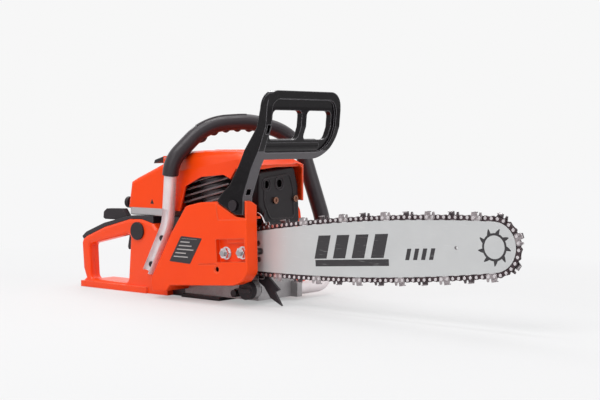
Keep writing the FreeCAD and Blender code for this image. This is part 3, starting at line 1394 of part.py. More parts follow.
def bumper_spikes():
    """The toothed steel plate in front of the crankcase, with its mounting flange."""
    body = new_body("bumper_spikes")
    front = s.engine_front
    corners = [(front, 31), (front, 106), (front + 5.6, 106), (front + 5.6, 121),
               (front + 11, 129), (front + 9, 116), (front + 13, 104),
               (front + 26, 96), (front + 16, 86), (front + 15.5, 74), (front + 27, 62),
               (front + 17, 50), (front + 19, 38), (front + 37, 23), (front + 29, 19),
               (front + 41, 1.5), (front + 21, 11), (front + 10, 25)]
    low = s.engine_right + 0.5
    pad(body, "XZ", corners, low, low + 3.5)
    flange = box((front, front + 3), (low, low + 22), (31, 64))
    holes = [cylinder(3, 12, front - 4, low + 13, z, TO_FRONT) for z in BUMPER_SCREWS]
    stud_room = on_bar_line(box((80, 99.8), (low - 1, low + 6), (-6.3, 6.3)))
    return node(cut(fuse(body, flange), stud_room, *holes), "bumper_spikes")


def bumper_screws():
    low = s.engine_right + 0.5
    front = s.engine_front
    screws = [fuse(cylinder(3, 3, front, low + 13, z, TO_FRONT),
                   cylinder(5, 4, front + 3, low + 13, z, TO_FRONT)) for z in BUMPER_SCREWS]
    return node(group(*screws), "bumper_screws")


def chain_catcher():
    """A small metal stop under the bar that catches a broken chain."""
    post = cylinder(5, 16, 56, s.engine_right - 16, 14)
    lug = box((48, 56), (s.engine_right - 6, s.engine_right), (9, 19))
    return node(fuse(post, lug), "chain_catcher")


# Starter side: flywheel, ignition coil, recoil starter and their cover.


def flywheel():
    """The cast wheel with the cooling fan's vanes, on the crankshaft's left end."""
    low = s.engine_left + 4
    disk = cylinder(s.flywheel_radius - 14, 14, 0, low, s.crank_height)
    back = cylinder(s.flywheel_radius, 3, 0, low, s.crank_height)
    vanes = []
    for index in range(14):
        vane = box((s.flywheel_radius - 16, s.flywheel_radius), (low + 2, low + 14), (-1.2, 1.2))
        vanes.append(lean(vane, 360 / 14 * index, z=s.crank_height))
    bore = cylinder(s.shaft_radius, 20, 0, low - 2, s.crank_height)
    return node(cut(fuse(disk, back, *vanes), bore), "flywheel")


def ignition_coil():
    """A laminated core with its moulded coil, close to the flywheel's rim."""
    y = s.engine_left
    core = lean(box((s.flywheel_radius + 0.8, s.flywheel_radius + 16), (y, y + 16), (-16, 16)),
                35, z=s.crank_height)
    coil = lean(cylinder(9, 18, s.flywheel_radius + 14, y + 9.3, -9, UPRIGHT),
                35, z=s.crank_height)
    return node(fuse(core, coil), "ignition_coil")


def starter_cover():
    """The orange cover over the flywheel, with rows of cooling slots."""
    body = new_body("starter_cover")
    low, high = s.engine_left, s.starter_outer
    front = s.engine_front - 12
    corners = [(-57, 6), (front, 6), (front, 60), (front - 10, 128), (38, 143), (-48, 143),
               (-57, 110)]
    pad(body, "XZ", corners, low, high)
    soften(body, runs_along("y", [corners[0], corners[1]]), 10)
    soften(body, runs_along("y", corners[3:]), 16)
    soften(body, lies_on("y", high), 7)
    wall = s.shell_wall
    inside = [(-57 + wall, 6 + wall), (front - wall, 6 + wall), (front - wall, 60),
              (front - 10 - wall, 127), (37, 143 - wall), (-47, 143 - wall), (-57 + wall, 109)]
    pocket(body, "XZ", inside, low, high - wall)
    slots = []
    for index in range(18):
        slot = box((33, 46), (high - wall - 2, high + 1), (-1.6, 1.6))
        slots.append(lean(slot, 20 * index, z=s.crank_height))
    grip_bore = cylinder(4, 40, -34, high - 12, 118)
    boss = tube(6, s.running_gap + 3.5, 8, 0, high - wall - 8, s.crank_height)
    return node(fuse(cut(body, grip_bore, *slots), boss), "starter_cover")


def starter_pulley():
    """The rope drum of the recoil starter, on the cover's boss."""
    high = s.starter_outer - s.shell_wall - 9
    rims = [cylinder(s.pulley_radius, 1.5, 0, high - y, s.crank_height) for y in (1.5, 8)]
    core = cylinder(s.pulley_radius - 6, 8, 0, high - 8, s.crank_height)
    stub = cylinder(3.5, 9 + 4, 0, high - 4, s.crank_height)
    return node(fuse(cut(fuse(core, *rims), cylinder(6.2, 4, 0, high - 4, s.crank_height)), stub),
                "starter_pulley")


def starter_grip():
    """The pull grip on the starter cover; its rope isn't part of this model."""
    y = s.starter_outer
    neck = cylinder(3.8, 12, -34, y - 9, 118)
    bar = fuse(box((-56, -12), (y + 3, y + 14), (111, 125)),
               cone(9, 6, 4, -34, y + 0.3, 118, TO_LEFT))
    return node(fuse(neck, bar), "starter_grip")


PIECES = (guide_bar, nose_sprocket, chain, drive_sprocket, clutch_drum, sprocket_bearing,
          clutch_hub, clutch_shoes, brake_band, clutch_cover, bar_studs, bar_nuts, crankcase,
          main_bearings, crankshaft, cylinder_block, spark_plug, plug_cap, muffler,
          muffler_guard, shield_screws, top_cover, airbox_base, air_filter_cover, air_filter,
          airbox_seal, carburettor, intake_boot, filter_latch, latch_pin, choke_knob,
          rear_handle, grip_pad,
          throttle_trigger, throttle_lockout, lever_pins, oil_cap, fuel_cap, ignition_switch,
          mount_caps, vibration_mounts, base_foot, front_handle, hand_guard, guard_pivot,
          bumper_spikes, bumper_screws, chain_catcher, flywheel, ignition_coil, starter_cover,
          starter_pulley, starter_grip)

for make in PIECES:
    make()
doc.recompute()

for feature in doc.Objects:
    if {"Invalid", "Error"} & set(feature.State):
        raise RuntimeError(f"{feature.Label} failed to build: {feature.State}")
os.makedirs("parts", exist_ok=True)
for feature in NODES:
    shape = feature.Shape
    if shape.isNull() or not shape.isValid() or not shape.Solids:
        raise RuntimeError(f"{feature.Label} has no valid solid")
    shape.exportStep(os.path.join("parts", feature.Label + ".step"))
    print(f"{feature.Label:20s} {len(shape.Solids):4d} solids {shape.Volume / 1000:10.2f} cm3")
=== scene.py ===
# %% [markdown]
# # A petrol chainsaw
# The solids of the saw come from its construction model and stand in one frame: X runs along
# the guide bar, Y to the operator's left, Z up, and everything is in metres. This lesson gives
# those solids their finishes, adds the small pieces that only matter to the eye, and lights them.

# %% Load the solids
import math

import bmesh
import bpy
import numpy as np
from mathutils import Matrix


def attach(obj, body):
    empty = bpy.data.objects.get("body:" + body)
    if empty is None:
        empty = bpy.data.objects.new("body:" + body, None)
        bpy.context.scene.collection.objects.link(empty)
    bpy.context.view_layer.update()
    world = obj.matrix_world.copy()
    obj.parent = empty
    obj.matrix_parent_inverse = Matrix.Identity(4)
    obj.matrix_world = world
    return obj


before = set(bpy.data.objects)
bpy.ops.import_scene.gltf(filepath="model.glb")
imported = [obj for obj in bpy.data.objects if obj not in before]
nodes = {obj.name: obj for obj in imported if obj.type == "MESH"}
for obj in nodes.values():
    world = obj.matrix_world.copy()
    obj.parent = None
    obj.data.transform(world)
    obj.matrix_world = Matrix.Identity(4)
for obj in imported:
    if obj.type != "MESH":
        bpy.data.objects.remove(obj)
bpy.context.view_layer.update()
MM = 0.001

# %% [markdown]
# ## Writing shader maths as sums
# A finish is a small sum of patterns: grain, scratches, dust. Nodes could be wired one by one,
# but a sum reads better. `Wire` wraps one socket and turns Python's operators into Math nodes.

# %% A socket that can be added and multiplied
class Wire:
    """One output socket. An operator on it adds the Math node of that name."""

    def __init__(self, finish, socket):
        self.finish = finish
        self.socket = socket

    def math(self, operation, *others):
        """The Math node of that operation, with this value as its first input."""
        return self.finish.maths(operation, self, *others)

    def __add__(self, other):
        return self.math("ADD", other)

    def __sub__(self, other):
        return self.math("SUBTRACT", other)

    def __rsub__(self, other):
        return self.finish.maths("SUBTRACT", other, self)

    def __mul__(self, other):
        return self.math("MULTIPLY", other)

    def __truediv__(self, other):
        return self.math("DIVIDE", other)

    def __lt__(self, other):
        return self.math("LESS_THAN", other)

    def __gt__(self, other):
        return self.math("GREATER_THAN", other)

    def __abs__(self):
        return self.math("ABSOLUTE")

    def between(self, low, high):
        """1 between two limits and 0 outside them."""
        return (self > low) * (self < high)

    __radd__ = __add__
    __rmul__ = __mul__


print("shader sums:", Wire.__doc__)

# %% [markdown]
# ## One material in one object
# Blender keeps a material as a tree of nodes that ends in a Principled shader. `Finish` holds
# that tree. A single method adds any node, and short methods built on it give what all the
# finishes share: noise, blends, bumps and softly rounded edges. A real edge is never sharp, and
# the angle by which a rounded edge turns also marks the edges: the plastics get a painted
# highlight there, the metals a paler tone and the guide bar bare steel.

# %% A material and its nodes
EDGE_TURN = (0.02, 0.25)


class Finish:
    """One material: its Principled shader, and the ways to add nodes in front of it."""

    def __init__(self, name):
        self.material = bpy.data.materials.new(name)
        self.material.use_nodes = True
        self.tree = self.material.node_tree
        self.shader = self.tree.nodes["Principled BSDF"]
        self.place = self.node("ShaderNodeTexCoord", output="Object")

    def node(self, kind, settings=None, inputs=None, output=0):
        """Add a node: its settings first, then a value or a wire for each socket."""
        made = self.tree.nodes.new(kind)
        for name, value in (settings or {}).items():
            setattr(made, name, value)
        for key, value in (inputs or {}).items():
            self.feed(made.inputs[key], value)
        return Wire(self, made.outputs[output])

    def feed(self, socket, value):
        """Link a wire to a socket, or write a plain value on it."""
        if isinstance(value, Wire):
            self.tree.links.new(value.socket, socket)
        else:
            socket.default_value = value

    def set(self, sockets):
        """Give the shader's sockets their values or wires."""
        for name, value in sockets.items():
            self.feed(self.shader.inputs[name], value)

    def maths(self, operation, *values):
        """One Math node on wires and numbers."""
        return self.node("ShaderNodeMath", {"operation": operation}, dict(enumerate(values)))

    def axis(self, letter, vector=None):
        """One coordinate of a vector, or of the place on the saw where none is given."""
        return self.node("ShaderNodeSeparateXYZ", {}, {0: vector or self.place}, output=letter)

    def facing(self, letter):
        """One coordinate of the direction that the surface faces."""
        return self.axis(letter, self.node("ShaderNodeTexCoord", output="Normal"))

    def noise(self, size, detail=2.0, stretch=(1, 1, 1)):
        """Cloudy noise with features about `size` metres across, longer where stretch > 1."""
        spot = self.node("ShaderNodeMapping", {}, {
            "Vector": self.place, "Scale": [1 / (size * part) for part in stretch]})
        return self.node("ShaderNodeTexNoise", {}, {"Vector": spot, "Scale": 1.0, "Detail": detail})

    def blend(self, share, first, second):
        """The first colour where share is 0 and the second where it is 1.

        A Mix node has sockets for every type of data: 6, 7 and output 2 are the colours'.
        """
        return self.node("ShaderNodeMix", {"data_type": "RGBA"}, {0: share, 6: first, 7: second},
                         output=2)

    def ramp(self, value, low, high):
        """0 at low and beyond, 1 at high and beyond, and straight between them."""
        return self.node("ShaderNodeMapRange", {}, {
            "Value": value, "From Min": low, "From Max": high})

    def bump(self, height, depth, normal=None):
        """A Bump node whose full height is depth metres."""
        links = {"Height": height, "Distance": depth, "Strength": 1.0}
        if normal:
            links["Normal"] = normal
        return self.node("ShaderNodeBump", {}, links)

    def rounded(self, radius):
        """The normal of edges rounded by radius, and how far it turns: 0 on flats, 1 on edges."""
        soft = self.node("ShaderNodeBevel", {"samples": 4}, {"Radius": radius})
        sharp = self.node("ShaderNodeNewGeometry", output="Normal")
        dot = self.node("ShaderNodeVectorMath", {"operation": "DOT_PRODUCT"}, {0: soft, 1: sharp},
                        output="Value")
        return soft, self.ramp(1 - dot, *EDGE_TURN)


print("one material:", Finish.__doc__)

# %% [markdown]
# ## Colours
# Shaders count light, which is linear, while a paint chart gives display values from 0 to 255.
# Undoing the display's gamma curve once, here, lets every tone below be written as on a chart.

# %% Display values to linear light
def shade(red, green, blue):
    """A linear colour: x / 12.92 in the darks and ((x + 0.055) / 1.055) ^ 2.4 above them."""
    display = np.array([red, green, blue]) / 255
    linear = np.where(display < 0.04045, display / 12.92, ((display + 0.055) / 1.055) ** 2.4)
    return (*linear.tolist(), 1.0)


print("an orange in linear light:", [round(part, 3) for part in shade(246, 72, 20)])

# %% [markdown]
# ## Moulded plastics
# The covers, handles and levers are injection moulded. Such a surface has a fine spark-eroded
# grain, a slow unevenness from cooling, a few scuffs that change its shine, and edges that are
# never sharp, which lean to a lighter tone as a painted highlight. One function makes them all:
# two close tones, a roughness and a grain depth.

# %% Plastic
SCUFFED = (0.52, 0.75)
SPECKED = (0.62, 0.8)
# Share by which rounded edges lean to the edge tone, a painted highlight.
EDGE_HIGHLIGHT_SHARE = 0.55
SPECK_TINT = 0.12
SCUFF_ROUGHNESS = 0.10
SPECK_ROUGHNESS = 0.06
# A painted highlight on the lever's front face, and the matt roughness there.
PAINTED_HIGHLIGHT_TINT = 0.2
MATT_FRONT_ROUGHNESS = 0.25
SINK_DEPTH = 0.5 * MM


def plastic(name, low, high, edge, roughness, grain, mirror, coat=0.0, soft=0.9 * MM,
            relief=None, matt_painted_highlight=None):
    """Tone = noise between low and high; edges lean to `edge`, a painted highlight; shine varies
    with scuffs.

    `relief` gives a height in metres, and the mask gives matt places that a painted highlight makes
    paler.
    """
    finish = Finish(name)
    normal, corner = finish.rounded(soft)
    if relief:
        normal = finish.bump(relief(finish), 1.0, normal)
    tone = finish.blend(finish.noise(60 * MM, 3), low, high)
    scuff = finish.ramp(finish.noise(9 * MM, 6, (1, 3, 1)), *SCUFFED)
    speck = finish.noise(0.9 * MM, 2)
    # Painted highlight: rounded edges lean to the lighter edge tone.
    colour = finish.blend(corner * EDGE_HIGHLIGHT_SHARE, tone, edge)
    colour = finish.blend(finish.ramp(speck, *SPECKED) * SPECK_TINT, colour, edge)
    rough = roughness + SCUFF_ROUGHNESS * scuff + SPECK_ROUGHNESS * (speck - 0.5)
    if matt_painted_highlight:
        mask = matt_painted_highlight(finish)
        # Painted highlight: the masked face leans to the lighter edge tone.
        colour = finish.blend(mask * PAINTED_HIGHLIGHT_TINT, colour, edge)
        rough = rough + mask * MATT_FRONT_ROUGHNESS
    sunk = finish.bump(finish.noise(35 * MM, 1), SINK_DEPTH, normal)
    finish.set({
        "Base Color": colour,
        "Roughness": rough,
        "Normal": finish.bump(speck, grain, sunk),
        "Specular IOR Level": mirror,
        "Coat Weight": coat,
        "Coat Roughness": 0.12,
    })
    return finish.material


# The lighter edge tone is a painted highlight.
print("plastic: edges lean to their worn tone by", EDGE_HIGHLIGHT_SHARE)

# %% [markdown]
# ## Creases, a parting line and a lever's painted highlight
# Three moulded pieces show something that only they have. The top cover's side leans back above
# two creases, the rear handle shows where the halves of its mould met, and the front face of the
# brake lever is matt and paler, a painted highlight. Two are heights and one is a mask, so that
# `plastic` can take them as they are, and a crease this shallow needs no geometry of its own.

# %% Heights and a mask
CREASES = ((-29.6 * MM, 197.9 * MM, 0.116), (-4.3 * MM, 187.0 * MM, 0.161))
SHOULDER_LEAN = 0.5
HANDLE_MIDDLE = 6 * MM
GROOVE_DEPTH = 0.5 * MM
GROOVE_SIDE = (0.9 * MM, 0.4 * MM)
LEVER_FLANGE = 209 * MM


def roof_shoulder(finish):
    """Height = -SHOULDER_LEAN times the distance above each crease.

    A crease is a line that starts at (x, z) and climbs by `rise` for each metre of x.
    """
    height = 0
    for start, level, rise in CREASES:
        above = finish.axis("Z") - level - (finish.axis("X") - start) * rise
        height = height - SHOULDER_LEAN * above.math("MAXIMUM", 0)
    return height


def parting_line(finish):
    """A groove in the handle's middle plane, whose sides slope between two distances from it."""
    beside = abs(finish.axis("Y") - HANDLE_MIDDLE)
    return -GROOVE_DEPTH * finish.ramp(beside, *GROOVE_SIDE)


def lever_front(finish):
    """1 on the lever's front face, up to the guard's lower flange."""
    # This face is made matt, and paler by a painted highlight.
    return (finish.facing("X") > 0.5) * (finish.axis("Z") < LEVER_FLANGE)


print("creases start at z =", [round(level, 4) for _, level, _ in CREASES])

# %% [markdown]
# ## The saw's plastics
# The orange covers share one set of tones. What differs is how strongly each mirrors the studio.
# The guard is glossy and nearly black, the levers are matt, and the sleeve is a soft rubber.

# %% Orange, blacks, rubber, grey and felt
# The third tone of each plastic is its edge tone, a painted highlight on rounded edges.
ORANGE = (shade(244, 64, 8), shade(252, 76, 9), shade(255, 140, 100), 0.30, 0.03 * MM)
orange = plastic("orange_moulding", *ORANGE, mirror=0.22, coat=0.02, soft=1.9 * MM)
roof_orange = plastic("orange_roof", *ORANGE, mirror=0.3, coat=0.04, soft=1.9 * MM,
                      relief=roof_shoulder)
handle_orange = plastic("orange_handle", *ORANGE, mirror=0.38, coat=0.02, soft=1.9 * MM,
                        relief=parting_line)
gloss_black = plastic("gloss_black_moulding", shade(9, 6, 9), shade(16, 12, 16),
                      shade(184, 180, 186), 0.16, 0.012 * MM, mirror=0.2, coat=0.03,
                      soft=2.0 * MM, matt_painted_highlight=lever_front)
shield_black = plastic("shield_black", shade(20, 15, 18), shade(32, 26, 30),
                       shade(126, 118, 122), 0.36, 0.03 * MM, mirror=0.3, soft=1.5 * MM)
matte_black = plastic("matte_black_moulding", shade(34, 28, 32), shade(46, 40, 44),
                      shade(98, 90, 94), 0.50, 0.06 * MM, mirror=0.3)
rubber = plastic("soft_black_rubber", shade(32, 26, 31), shade(46, 39, 44),
                 shade(110, 104, 108), 0.33, 0.05 * MM, mirror=0.45)
silver_grey = plastic("silver_grey_moulding", shade(164, 160, 162), shade(186, 183, 184),
                      shade(222, 220, 220), 0.42, 0.05 * MM, mirror=0.4)
felt = plastic("filter_felt", shade(168, 160, 140), shade(196, 190, 172),
               shade(212, 208, 194), 0.9, 0.30 * MM, mirror=0.15)
print("plastics:", orange.name, gloss_black.name, matte_black.name, rubber.name)

# %% [markdown]
# ## Metals
# Each metal on a saw shows how it was made: castings are pebbled, turned and ground steel has
# fine lines, pressed steel is smooth. One function covers them with a grain size, how far the
# grain is stretched, and a paler colour that their rounded edges lean to.

# %% Metal
STAINED = (0.3, 0.7)
# Share by which rounded edges lean to the paler edge tone.
METAL_EDGE_SHARE = 0.7
STAIN_ROUGHNESS = 0.16
LINE_ROUGHNESS = 0.12
SHADED_SHARE = 0.8


def metal(name, low, high, edge, roughness, grain, depth, stretch=(1, 1, 1), metallic=1.0,
          soft=0.5 * MM, far_side=None):
    """Tone and roughness follow one stretched grain, and a coarser noise stains it.

    With a far-side tone, what lies on the left of the bar takes it as a painted shade.
    """
    finish = Finish(name)
    normal, corner = finish.rounded(soft)
    lines = finish.noise(grain, 4, stretch)
    stain = finish.noise(14 * MM, 4)
    tone = finish.blend(finish.ramp(0.6 * lines + 0.4 * stain, *STAINED), low, high)
    if far_side:
        # Painted shade: what lies on the far side of the bar is darkened.
        tone = finish.blend((finish.axis("Y") > 0) * SHADED_SHARE, tone, far_side)
    finish.set({
        "Base Color": finish.blend(corner * METAL_EDGE_SHARE, tone, edge),
        "Metallic": metallic,
        "Roughness": roughness - 0.1 + STAIN_ROUGHNESS * stain + LINE_ROUGHNESS * lines,
        "Normal": finish.bump(lines, depth, normal),
    })
    return finish.material


# The metals' rounded edges lean to a paler tone.
print("metal: edges lean to their rubbed tone by", METAL_EDGE_SHARE)

# %% [markdown]
# ## The saw's metals
# The crankcase is a pebbled casting, the handle's tube is painted silver, and the chain is blued
# with bright rivets and chromed cutters. Their lines run the way each was turned or ground.

# %% Castings, steels and paint
cast = metal("cast_alloy", shade(140, 136, 138), shade(186, 183, 184), shade(226, 224, 224),
             0.46, 1.1 * MM, 0.10 * MM, metallic=0.6)
turned_steel = metal("turned_steel", shade(150, 148, 150), shade(186, 184, 186),
                     shade(225, 224, 225), 0.34, 0.5 * MM, 0.01 * MM, (1, 1, 6))
bright_steel = metal("polished_steel", shade(196, 190, 192), shade(232, 226, 228),
                     shade(250, 248, 248), 0.24, 0.6 * MM, 0.01 * MM, (4, 1, 1))
black_steel = metal("pressed_black_steel", shade(34, 28, 32), shade(50, 43, 48),
                    shade(122, 114, 118), 0.42, 0.8 * MM, 0.03 * MM, metallic=0.5)
chain_steel = metal("blued_chain_steel", shade(52, 40, 44), shade(84, 70, 74),
                    shade(150, 142, 144), 0.36, 0.5 * MM, 0.02 * MM, metallic=0.8)
tube_paint = metal("silver_tube_paint", shade(222, 212, 214), shade(240, 232, 234),
                   shade(250, 248, 248), 0.30, 0.7 * MM, 0.02 * MM, metallic=0.35)
fin_alloy = metal("cylinder_fin_alloy", shade(66, 58, 61), shade(122, 114, 117),
                  shade(250, 244, 244), 0.40, 0.9 * MM, 0.08 * MM, metallic=0.55, soft=1.5 * MM)
# Its far-side tone is a painted shade on the cutters beyond the bar.
cutter_chrome = metal("cutter_chrome", shade(104, 96, 99), shade(196, 188, 190),
                      shade(240, 236, 237), 0.26, 1.6 * MM, 0.02 * MM, (2, 1, 1),
                      far_side=shade(52, 43, 47))
copper_steel = metal("copper_plated_steel", shade(120, 84, 70), shade(164, 118, 98),
                     shade(214, 176, 158), 0.34, 0.5 * MM, 0.02 * MM)
print("metals:", cast.name, turned_steel.name, chain_steel.name)

# %% [markdown]
# ## The guide bar's print
# A guide bar is a steel plate with pale lacquer on its faces and bare ground rails at its edges.
# A printed ring of sprocket teeth marks the nose and plain slanted stripes mark the middle.
# The pattern is worked out in the bar's own tilted frame, so that it needs no picture: u runs
# along the bar from the crankshaft and v across it.

# %% Stripes and a ring of teeth
NOSE_REACH = 465 * MM
STRIPE_LEAN = 0.3
TOOTH_DRIFT = 22
TOOTH_START = 0.3
TOOTH_TIP = 0.03
TOOTH_FLARE = 0.2


def slanted_bars(u, v, start, count, v_range, period, filled):
    """Whole bars: the fraction of (u - start - lean v) / period is below `filled`."""
    phase = (u - start - v * STRIPE_LEAN) / period
    return v.between(*v_range) * phase.between(0, count) * (phase.math("FRACT") < filled)


def tooth_ring(u, v, inner, rim, tip, teeth):
    """A ring with curved teeth, each a mask |fraction of the turn - 1/2| < half its width.

    The turn counts teeth and drifts with the radius; the half width, in teeth, falls from
    TOOTH_TIP + TOOTH_FLARE at the rim to TOOTH_TIP at the tip.
    """
    x = u - NOSE_REACH
    radius = (x * x + v * v).math("SQRT")
    angle = v.math("ARCTAN2", x)
    turn = angle * (teeth / (2 * math.pi)) + radius * TOOTH_DRIFT + TOOTH_START
    off = abs(turn.math("FRACT") - 0.5)
    half_width = (tip - radius) * (TOOTH_FLARE / (tip - rim)) + TOOTH_TIP
    tooth = (half_width > off) * radius.between(rim, tip)
    return radius.between(inner, rim).math("MAXIMUM", tooth)


print("the ring of teeth is centred", round(NOSE_REACH, 3), "m along the bar")

# %% [markdown]
# ## The guide bar's lacquer
# The lacquer is rubbed in streaks along the bar, and the ink is thinner there. Whatever doesn't
# face sideways is bare steel, and so is a thin line at each edge, where the chain runs.

# %% Guide bar finish
RUBBED = (0.62, 0.8)
BAR_TILT = math.radians(4.1)
CRANK_HEIGHT = 67 * MM


def guide_bar_finish():
    """Steel, then lacquer over its two faces, then ink over the lacquer."""
    finish = Finish("guide_bar_lacquer")
    spot = finish.node("ShaderNodeMapping", {}, {
        "Vector": finish.place, "Rotation": (0, BAR_TILT, 0),
        "Location": (-CRANK_HEIGHT * math.sin(BAR_TILT), 0, -CRANK_HEIGHT * math.cos(BAR_TILT))})
    u, v = finish.axis("X", spot), finish.axis("Z", spot)
    large = slanted_bars(u, v, start=196 * MM, count=4, v_range=(-11 * MM, 19 * MM),
                         period=30.5 * MM, filled=0.66)
    small = slanted_bars(u, v, start=341 * MM, count=4, v_range=(-14 * MM, 0.0),
                         period=11.8 * MM, filled=0.52)
    line = u.between(194 * MM, 312 * MM) * v.between(-21 * MM, -12.5 * MM)
    ring_of_teeth = tooth_ring(u, v, inner=13.8 * MM, rim=16.6 * MM, tip=22.5 * MM, teeth=9)
    ink = (large + line + small + ring_of_teeth).math("MINIMUM", 1)
    normal, corner = finish.rounded(0.5 * MM)
    painted = (abs(finish.facing("Y")) > 0.7) * (1 - corner)
    rubbed = finish.ramp(finish.noise(2.4 * MM, 5, (9, 1, 1)), *RUBBED)
    lacquer = finish.blend(finish.noise(40 * MM, 2), shade(192, 193, 194), shade(205, 206, 206))
    lacquer = finish.blend(rubbed * 0.35, lacquer, shade(224, 224, 224))
    inked = finish.blend(ink * (1 - 0.3 * rubbed), lacquer, shade(50, 47, 50))
    steel = finish.blend(rubbed, shade(120, 116, 118), shade(178, 174, 176))
    finish.set({
        "Base Color": finish.blend(painted, steel, inked),
        "Metallic": 0.85 - 0.75 * painted,
        "Roughness": 0.30 + 0.14 * rubbed,
        "Normal": finish.bump(rubbed, 0.01 * MM, normal),
    })
    return finish.material


bar_lacquer = guide_bar_finish()
print("bar finish:", bar_lacquer.name, "with", len(bar_lacquer.node_tree.nodes), "nodes")

# %% [markdown]
# ## Each solid gets its finish
# A solid keeps its shape here and only its material slot changes. A table from finish to
# solids says at a glance what the saw is made of.

# %% Dress the solids
DRESS = (
    (orange, "clutch_cover air_filter_cover starter_cover"),
    (handle_orange, "rear_handle"),
    (roof_orange, "top_cover"),
    (gloss_black, "hand_guard"),
    (shield_black, "muffler_guard"),
    (matte_black, "filter_latch choke_knob throttle_trigger throttle_lockout oil_cap "
     "fuel_cap ignition_switch mount_caps starter_grip starter_pulley ignition_coil"),
    (rubber, "front_handle_grip grip_pad base_foot vibration_mounts airbox_seal "
     "intake_boot plug_cap"),
    (silver_grey, "airbox_base"),
    (felt, "air_filter"),
    (bar_lacquer, "guide_bar"),
    (chain_steel, "chain_drive_links chain_tie_straps"),
    (cutter_chrome, "chain_cutters"),
    (bright_steel, "chain_rivets bar_nuts"),
    (turned_steel, "nose_sprocket drive_sprocket clutch_drum sprocket_bearing clutch_hub "
     "clutch_shoes brake_band bar_studs main_bearings crankshaft lever_pins latch_pin "
     "bumper_screws spark_plug"),
    (copper_steel, "shield_screws"),
    (cast, "crankcase carburettor flywheel"),
    (fin_alloy, "cylinder"),
    (black_steel, "muffler bumper_spikes chain_catcher handle_screws guard_pivot"),
    (tube_paint, "front_handle_tube"),
)
for finish, names in DRESS:
    for name in names.split():
        for slot in nodes[name].material_slots:
            slot.material = finish
missing = set(nodes) - {name for row in DRESS for name in row[1].split()}
print("solids without a finish:", sorted(missing))

# %% [markdown]
# ## Small pieces as computed surfaces
# Labels, seams and wires are too thin to matter to the construction. Each is a grid of points:
# one parameter runs round the piece's outline, the other runs through its thickness or along
# its path. The two ends close with a face each, or the last ring joins the first.
# Every small piece is trim of the saw's main body, so it rides on that body.


def mesh_piece(name, points, faces, finish):
    """A mesh with its faces turned outward, dressed and riding on the saw."""
    mesh = bpy.data.meshes.new(name)
    mesh.from_pydata(points.reshape(-1, 3).tolist(), [], faces)
    shape = bmesh.new()
    shape.from_mesh(mesh)
    bmesh.ops.recalc_face_normals(shape, faces=shape.faces)
    shape.to_mesh(mesh)
    shape.free()
    mesh.materials.append(finish)
    made = bpy.data.objects.new(name, mesh)
    bpy.context.scene.collection.objects.link(made)
    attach(made, "saw")


def skin(name, rings, finish, loop=False):
    """Join rings of points, an array (rings, points, 3), into a closed piece.

    In a loop the last ring joins the first; otherwise a face closes each end.
    """
    rows, count = rings.shape[:2]
    bands = rows if loop else rows - 1
    row, column = np.meshgrid(np.arange(bands), np.arange(count), indexing="ij")
    ahead, across = (row + 1) % rows, (column + 1) % count
    quads = np.stack([row * count + column, row * count + across,
                      ahead * count + across, ahead * count + column], -1)
    ends = [] if loop else [list(range(count)), list(range((rows - 1) * count, rows * count))]
    mesh_piece(name, rings, quads.reshape(-1, 4).tolist() + ends, finish)


# %% [markdown]
# ## Paths and outlines
# Most small pieces are an outline carried along a path, as a seam is laid along a sleeve. Both
# need round corners and bends, and one formula gives them all. A line dropped onto a solid finds
# where a piece sits, so that trim stays on its surface.

# %% Outlines, bends and places on a solid
def ring(radius, count=20):
    """Points (r cos t, r sin t) round a circle."""
    turn = np.linspace(0, 2 * math.pi, count, endpoint=False)
    return radius * np.stack([np.cos(turn), np.sin(turn)], -1)


def bent(first, corner, last, t):
    """The curve (1-t)^2 A + 2t(1-t) C + t^2 B, which runs from A to B and leans to C."""
    return (1 - t) ** 2 * first + 2 * t * (1 - t) * corner + t ** 2 * last


def rounded_corners(corners, radius, steps=6):
    """A closed loop in which each corner becomes a bend of that radius."""
    corners = np.asarray(corners, float)
    before, after = np.roll(corners, 1, 0) - corners, np.roll(corners, -1, 0) - corners
    first = corners + radius * before / np.linalg.norm(before, axis=1, keepdims=True)
    last = corners + radius * after / np.linalg.norm(after, axis=1, keepdims=True)
    t = np.linspace(0, 1, steps)[None, :, None]
    return bent(first[:, None], corners[:, None], last[:, None], t).reshape(-1, 2)


def carried(path, outline, up=(0, 0, 1)):
    """Rings P + a side + b rise of an outline's points (a, b), at each point P of a path.

    Side is the path's direction crossed with `up`, and rise stands square to both.
    """
    ahead = np.gradient(path, axis=0)
    side = np.cross(ahead, up)
    side /= np.linalg.norm(side, axis=1, keepdims=True)
    rise = np.cross(side, ahead)
    rise /= np.linalg.norm(rise, axis=1, keepdims=True)
    return (path[:, None] + outline[None, :, :1] * side[:, None]
            + outline[None, :, 1:] * rise[:, None])


def swelling(path, outline, size):
    """Rings carried along a path, each scaled about the path by its own entry of `size`."""
    centre = path[:, None]
    return centre + (carried(path, outline) - centre) * size[:, None, None]


def surface_point(node, start, direction):
    """Where a straight line from `start` first meets a solid."""
    found, point, _, _ = nodes[node].ray_cast(start, direction)
    assert found, node
    return np.array(point)


print("a ring of radius 1 starts at", ring(1.0)[0].tolist())

# %% [markdown]
# ## The labels' film
# A real saw carries a printed label on its clutch cover. Here it's a plain dark film with plain
# pale stripes of different lengths. Each stripe is a row of the label, and its length steps
# from row to row by a fraction that doesn't repeat soon.

# %% Label film
PRINT_START = (-38.8 * MM, 54.5 * MM)
PRINT_WIDTH = 40.3 * MM
PRINT_LEAN = 0.634
ROW_HEIGHT = 5.2 * MM
PRINTED_ROWS = (0.7, 6.4)
STRIPE_IN_ROW = (0.34, 0.62)
MARGINS = (0.1, 0.9)
LENGTH_STEP = 0.618


